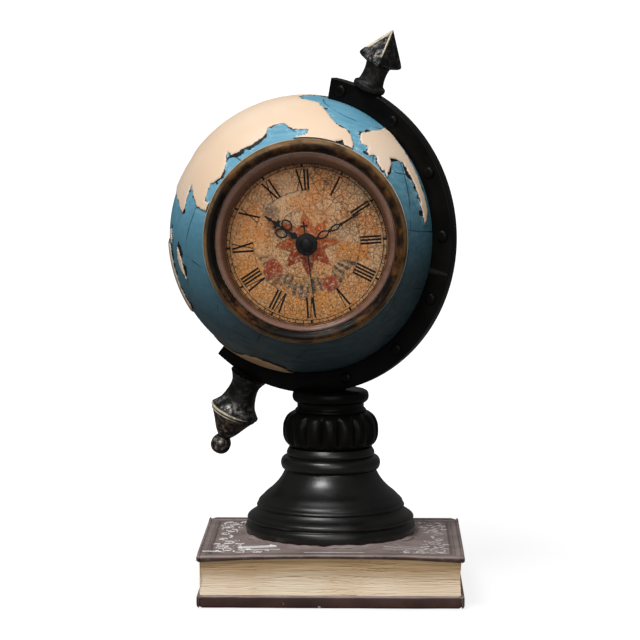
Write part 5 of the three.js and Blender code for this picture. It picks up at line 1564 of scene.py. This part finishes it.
def board_section(front, back, bottom, top, soft, top_count, steps=5):
    flat = back - front - 2 * soft
    return [
        *quarter(front + soft, bottom + soft, soft, -90, -90, steps),
        *quarter(front + soft, top - soft, soft, 180, -90, steps),
        *[(front + soft + flat * i / top_count, top) for i in range(1, top_count)],
        *quarter(back - soft, top - soft, soft, 90, -90, steps),
        *quarter(back - soft, bottom + soft, soft, 0, -90, steps),
        (cover_front + front_reach, bottom),
    ]


def cover_board(name, node, field, waviness, bow, spacing, soft):
    low, high = (corner.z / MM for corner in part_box(node))
    count = round((2 * cover_x - 2 * soft) / spacing)
    between = [-cover_x + soft + (2 * cover_x - 2 * soft) * i / count for i in range(1, count)]
    x_rows = rounded_ends(soft, between)
    top_count = round((cover_back - cover_front - 2 * soft) / spacing)
    points, raised_values, smear_values = [], [], []
    for x, inset in x_rows:
        section = board_section(
            cover_front + inset, cover_back - inset, low + inset, high - inset, soft, top_count
        )
        wavy_edge = waviness * noise.noise(Vector((x * 0.035, 0.3, low)))
        shift = max(0.0, wavy_edge + 0.35 * waviness)
        dip = waviness * 0.5 * abs(noise.noise(Vector((x * 0.05, 4.0, low)))) + bow * (x / cover_x) ** 2
        for y, z in section:
            near_front = max(0.0, 1 - (y - cover_front) / wave_reach)
            upper = (z - low) / (high - low)
            moved_y = y + shift * near_front
            height, value, smeared = 0.0, 0.0, 0.0
            if field is not None and upper > 0.7 and inset == 0:
                value, smeared = field(x, y)
                inside_edge = min(cover_x - abs(x), y - cover_front, cover_back - y)
                if z >= high - 1e-6:
                    height = -emboss_depth * (1 - value) * smoothstep(inside_edge, soft, soft + edge_ramp)
            sag = -dip * near_front * (0.3 + 0.7 * upper)
            if bow:
                sag += front_lift(x, y) * (1 - upper)
            points.append((x * MM, moved_y * MM, (z + height + sag) * MM))
            round_foot = math.hypot(x - foot_axis.x / MM, moved_y - foot_axis.y / MM) < bare_radius
            raised_values.append(0.0 if round_foot else value)
            smear_values.append(smeared)
    columns = len(points) // len(x_rows)
    faces = grid_faces(len(x_rows), columns) + end_faces(len(x_rows), columns)
    made = add_piece(name, points, faces, cover, "cover", node, weld=False, sharp=50)
    give_values(made, "raised", raised_values)
    give_values(made, "smear", smear_values)


# Each dry stroke of white: centre across, centre back, half length and half width in mm, and slant.
dry_strokes = [
    (-37.5, -31.0, 9.5, 2.9, 0.25), (-36.5, -38.2, 10.5, 0.9, 0.11), (-61.0, -43.0, 4.0, 0.8, 0.0),
    (36.0, -32.0, 12.0, 0.8, -0.42), (42.0, -30.0, 8.0, 0.6, -0.42), (33.0, -36.5, 7.0, 0.6, -0.3),
    (50.0, -45.0, 8.0, 0.5, 0.0), (2.0, -45.5, 15.0, 0.4, 0.0),
]


def upper_field(x, y):
    """Embossing and white smears; under and just round the foot the cover is full height."""
    from_foot = math.hypot(x - foot_axis.x / MM, y - foot_axis.y / MM)
    wobble = 1.2 * noise.noise(Vector((x, y, 0)) * 0.25)
    near_foot = 1 - smoothstep(from_foot + wobble, 45.6, 47.0)
    value = cover_field(x, y) * (1 - near_foot)
    smears = 0.0
    for stroke_x, stroke_y, half_length, half_width, slant in dry_strokes:
        along = abs(x - stroke_x) / half_length
        across = abs(y - stroke_y - slant * (x - stroke_x)) / half_width
        smears = max(smears, clamp(1.6 - max(along ** 4, across ** 2)))
    return max(value, near_foot), smears if near_foot < 0.5 else 0.0


board_spacing = 0.55
cover_board("upper_cover", "book_upper_cover", upper_field, 0.9, 0.9, board_spacing, 1.6)
cover_board("lower_cover", "book_lower_cover", None, 0.7, 0.0, 1.5, 1.3)

# %% Spine
spine_low, spine_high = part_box("book_spine")
spine_wall, spine_soft = 3.0, 1.1
spine_front, spine_back = spine_low.y / MM, spine_high.y / MM
spine_half = (spine_high.z - spine_low.z) / 2 / MM
spine_middle = (spine_high.z + spine_low.z) / 2 / MM
spine_rows = rounded_ends(spine_soft, np.linspace(-cover_x + 4, cover_x - 4, 40))
spine_points = []
for x, inset in spine_rows:
    depth, half = spine_back - spine_front - spine_wall - inset, spine_half - inset
    section = [(spine_front, spine_middle - half)]
    for a in np.linspace(-math.pi / 2, math.pi / 2, 33):
        section.append((spine_front + spine_wall + depth * math.cos(a), spine_middle + half * math.sin(a)))
    section.append((spine_front, spine_middle + half))
    spine_points += [(x * MM, y * MM, z * MM) for y, z in section]
spine_faces = grid_faces(len(spine_rows), len(section)) + end_faces(len(spine_rows), len(section))
add_piece("spine", spine_points, spine_faces, cover, "cover", "book_spine", sharp=40)

# %% Page finish
page = Finish("page_paint", roughness=0.7, Specular_IOR_Level=0.2)
page_z = page.part(page.spot, "Z")
leaf_place = page.vector("MULTIPLY", page.spot, (1.0, 1.0, 34.0))
leaves = page.grain(leaf_place, 26.0, 5.0, 0.6)
leaf_fine = page.grain(leaf_place, 62.0, 5.0, 0.65)
worn_leaf = page.attribute("leaf")
page_cloud = page.noise(30.0, 4.0)
page_height = page.plus(page_z, page.times(page_cloud, 0.005))
page_light = page.blend(page.band(page_cloud, 0.35, 0.65), (0.92, 0.77, 0.58), (0.86, 0.68, 0.48))
page_wash_and_shade = page.blend(page.band(leaves, 0.4, 0.6), (0.5, 0.32, 0.16), (0.66, 0.46, 0.26))
# Darker brown towards the top, under the cover: partly a brown wash, partly painted shade.
page_tone = page.blend(page.band(page_height, 14 * MM, 25 * MM), page_light, page_wash_and_shade)
page_tone = page.blend(page.band(leaf_fine, 0.4, 0.58, 0.12, 0.0), page_tone, (0.42, 0.26, 0.13))
leaf_line = page.band(worn_leaf, 0.1, 0.75, 1.0, 0.0)
# The leaf lines grow darker upwards too: partly wash, partly painted shade.
line_depth = page.band(page_z, 8 * MM, 22 * MM, 0.12, 0.34)
page_tone = page.blend(page.times(leaf_line, line_depth), page_tone, (0.22, 0.12, 0.055))
page.set(Base_Color=page_tone)
page.bump(page.plus(leaf_fine, leaves), 0.5, 0.00025)

# %% Pages
page_low, page_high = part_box("page_block")
page_half, page_front, page_back = page_high.x / MM, page_low.y / MM, page_high.y / MM
page_bottom, page_top = page_low.z / MM, page_high.z / MM
edge_step, back_step = 0.8, 8.0


def page_noise(run, height, scale, seed, height_scale):
    return noise.noise(Vector((run * scale, seed, height * height_scale)))


# Each point of the outline: its place, and which way the edge faces there.
outline = [
    *[(x, page_front, 0, -1) for x in np.arange(-page_half, page_half, edge_step)],
    *[(page_half, y, 1, 0) for y in np.arange(page_front, page_back, edge_step)],
    *[(x, page_back, 0, 0) for x in np.arange(page_half, -page_half, -back_step)],
    *[(-page_half, y, -1, 0) for y in np.arange(page_back, page_front, -edge_step)],
]
page_rows = np.linspace(page_bottom, page_top, 64)
page_points, leaf_values = [], []
for z in page_rows:
    height = (z - page_bottom) / (page_top - page_bottom)
    for x, y, nx, ny in outline:
        run = x if ny else y + 200 * nx
        lift = z + 1.1 * page_noise(run, 5, 0.018, 0, 1) + 0.5 * page_noise(run, 9, 0.06, 0, 1)
        line = page_noise(run, lift, 0.012, 0, 1.25) + 0.6 * page_noise(run, lift, 0.03, 3, 2.6)
        cut_in = smoothstep(abs(line), 0.0, 0.16)
        gate = smoothstep(page_noise(run, lift, 0.03, 8, 0.5), -0.25, 0.15)
        value = 1 - (1 - cut_in) * gate
        hollow = (1.4 if ny else 0.5) * math.sin(math.pi * height)
        inward = hollow + 0.26 * (1 - value) + 0.12 * (1 + page_noise(run, z, 0.1, 1, 1.5))
        raised_z = z + height ** 2 * front_lift(x, y)
        page_points.append(((x - nx * inward) * MM, (y - ny * inward) * MM, raised_z * MM))
        leaf_values.append(value)
page_faces = grid_faces(len(page_rows), len(outline)) + end_faces(len(page_rows), len(outline))
pages = add_piece("pages", page_points, page_faces, page, "pages", "page_block", weld=False, sharp=70)
give_values(pages, "leaf", leaf_values)

# %% [markdown]
# ## Glass, felt and the works
#
# The inner pieces keep their solids, since no side shows them from near, and take plain, true materials:
# nylon for the wheels, brass for the bush and nut, steel for shafts and contacts, enamelled copper wire for
# the coil, and black moulded plastic for the case. One function makes them all, because each is two near
# colours in fine grains over a small bump.

# %% Materials of the works
def simple_finish(
    name, low_colour, high_colour, roughness, scale, bump, metallic=0.0, stretch=1.0, distance=0.00005
):
    made = Finish(name, roughness=roughness[0], Metallic=metallic)
    if stretch != 1:
        made.spot = made.vector("MULTIPLY", made.spot, (1.0, stretch, 1.0))
    pattern = made.noise(scale, 4.0, 0.6)
    made.set(
        Base_Color=made.blend(made.band(pattern, 0.35, 0.65), low_colour, high_colour),
        Roughness=made.band(pattern, 0.3, 0.7, *roughness),
    )
    made.bump(made.noise(scale * 3, 3.0), bump, distance)
    return made


felt = simple_finish(
    "felt", (0.008, 0.012, 0.009), (0.022, 0.03, 0.024), (0.9, 1.0), 1800.0, 0.8, distance=0.0003
)
nylon = simple_finish("nylon", (0.72, 0.69, 0.61), (0.8, 0.77, 0.7), (0.38, 0.5), 400.0, 0.15)
brass = simple_finish("brass", (0.42, 0.27, 0.1), (0.62, 0.42, 0.17), (0.22, 0.38), 500.0, 0.2, 1.0)
steel = simple_finish("steel", (0.4, 0.4, 0.41), (0.56, 0.56, 0.57), (0.2, 0.36), 600.0, 0.2, 1.0)
copper = simple_finish(
    "copper_wire", (0.3, 0.09, 0.035), (0.55, 0.2, 0.09), (0.22, 0.36), 260.0, 0.9, 0.9, 14.0, 0.0002
)
plastic = simple_finish(
    "moulded_case", (0.012, 0.012, 0.013), (0.02, 0.02, 0.021), (0.5, 0.62), 1500.0, 0.35
)
board = simple_finish("circuit_board", (0.006, 0.07, 0.028), (0.012, 0.1, 0.04), (0.3, 0.45), 300.0, 0.15)
cell_skin = simple_finish(
    "battery_skin", (0.1, 0.11, 0.125), (0.14, 0.15, 0.17), (0.26, 0.38), 200.0, 0.15, 0.4
)

# The glass lets light straight through and adds a faint, slightly dusty reflection.
glass = Finish("window_glass")
glass.tree.nodes.clear()
dust = glass.band(glass.grain(glass.place(), 70.0, 4.0), 0.3, 0.75, 0.02, 0.09)
glass_mix = glass.tree.nodes.new("ShaderNodeMixShader")
glass.feed(glass_mix.inputs[0], glass.times(glass.put("Fresnel", IOR=1.45), 0.5))
glass.feed(glass_mix.inputs[1], glass.put("BsdfTransparent", Color=(0.97, 0.98, 0.975)))
glass.feed(glass_mix.inputs[2], glass.put("BsdfGlossy", Color=(1, 1, 1), Roughness=dust))
glass.feed(glass.tree.nodes.new("ShaderNodeOutputMaterial").inputs[0], glass_mix.outputs[0])

# %% Give each solid that stays its material
kept = (
    (glass, ["lens"]),
    (plum, ["insert_housing"]),
    (felt, ["base_pad"]),
    (brass, ["fixing_nut", "minute_pipe"]),
    (plastic, ["movement_case", "movement_cover"]),
    (steel, ["rotor", "stator", "battery_contact_left", "battery_contact_right"]),
    (copper, ["coil"]),
    (board, ["circuit_board"]),
    (cell_skin, ["battery"]),
    (ink, ["dial_plate"]),
    (nylon, ["hour_wheel", "motion_wheel", "centre_wheel", "third_wheel", "seconds_wheel"]),
    (nylon, ["intermediate_wheel", "setting_knob"]),
)
for finish, names in kept:
    for name in names:
        nodes[name].data.materials.clear()
        nodes[name].data.materials.append(finish.material)
print("solids that stay:", sum(len(names) for _, names in kept))

# %% [markdown]
# ## Floor, background and lamps
#
# The photograph has a white ground and soft light from above and in front. The floor is a white sheet
# that keeps the clock's shadow. A lit white sheet alone would show its far edge as a grey line, so it also
# glows a little where the camera sees it. The lamps are large, so their reflections in the black paint are
# broad.

# %% Floor and world
floor_paint = Finish("floor_white", roughness=0.9, Base_Color=(0.2, 0.2, 0.2), Emission_Color=(1, 1, 1))
from_clock = floor_paint.put("VectorMath", 1, operation="LENGTH", a=floor_paint.spot)
glow = floor_paint.band(from_clock, 0.08, 0.45, 0.84, 1.1)
floor_paint.set(Emission_Strength=floor_paint.times(floor_paint.put("LightPath"), glow))
floor_mesh = bpy.data.meshes.new("floor")
floor_mesh.from_pydata([(-4, -2.5, 0), (4, -2.5, 0), (4, 5, 0), (-4, 5, 0)], [], [(0, 1, 2, 3)])
floor_mesh.materials.append(floor_paint.material)
new_object("floor", floor_mesh)

ambient = 0.12
world = bpy.data.worlds.new("studio")
bpy.context.scene.world = world
world.use_nodes = True
sky = Tree(world.node_tree)
backdrop = sky.tree.nodes["Background"].inputs
sky.feed(backdrop["Color"], (1, 1, 1))
sky.feed(backdrop["Strength"], sky.plus(sky.put("LightPath"), ambient))

# %% Lamps
def softbox(name, place, aim, size, power):
    lamp = bpy.data.lights.new(name, "AREA")
    lamp.shape = "RECTANGLE"
    lamp.size, lamp.size_y = size
    lamp.energy = power
    made = new_object(name, lamp)
    made.location = place
    made.rotation_euler = (Vector(aim) - Vector(place)).to_track_quat("-Z", "Y").to_euler()


softbox("key", (-0.45, -0.85, 1.4), (0, 0, 0.16), (0.55, 0.4), 16)
softbox("top", (-0.1, 0, 1.5), (0, 0, 0.1), (0.9, 0.7), 4.5)
softbox("front_fill", (0, -2.1, 0.9), (0, 0, 0.1), (1.8, 1.2), 14)
bpy.context.scene.view_settings.view_transform = "Standard"
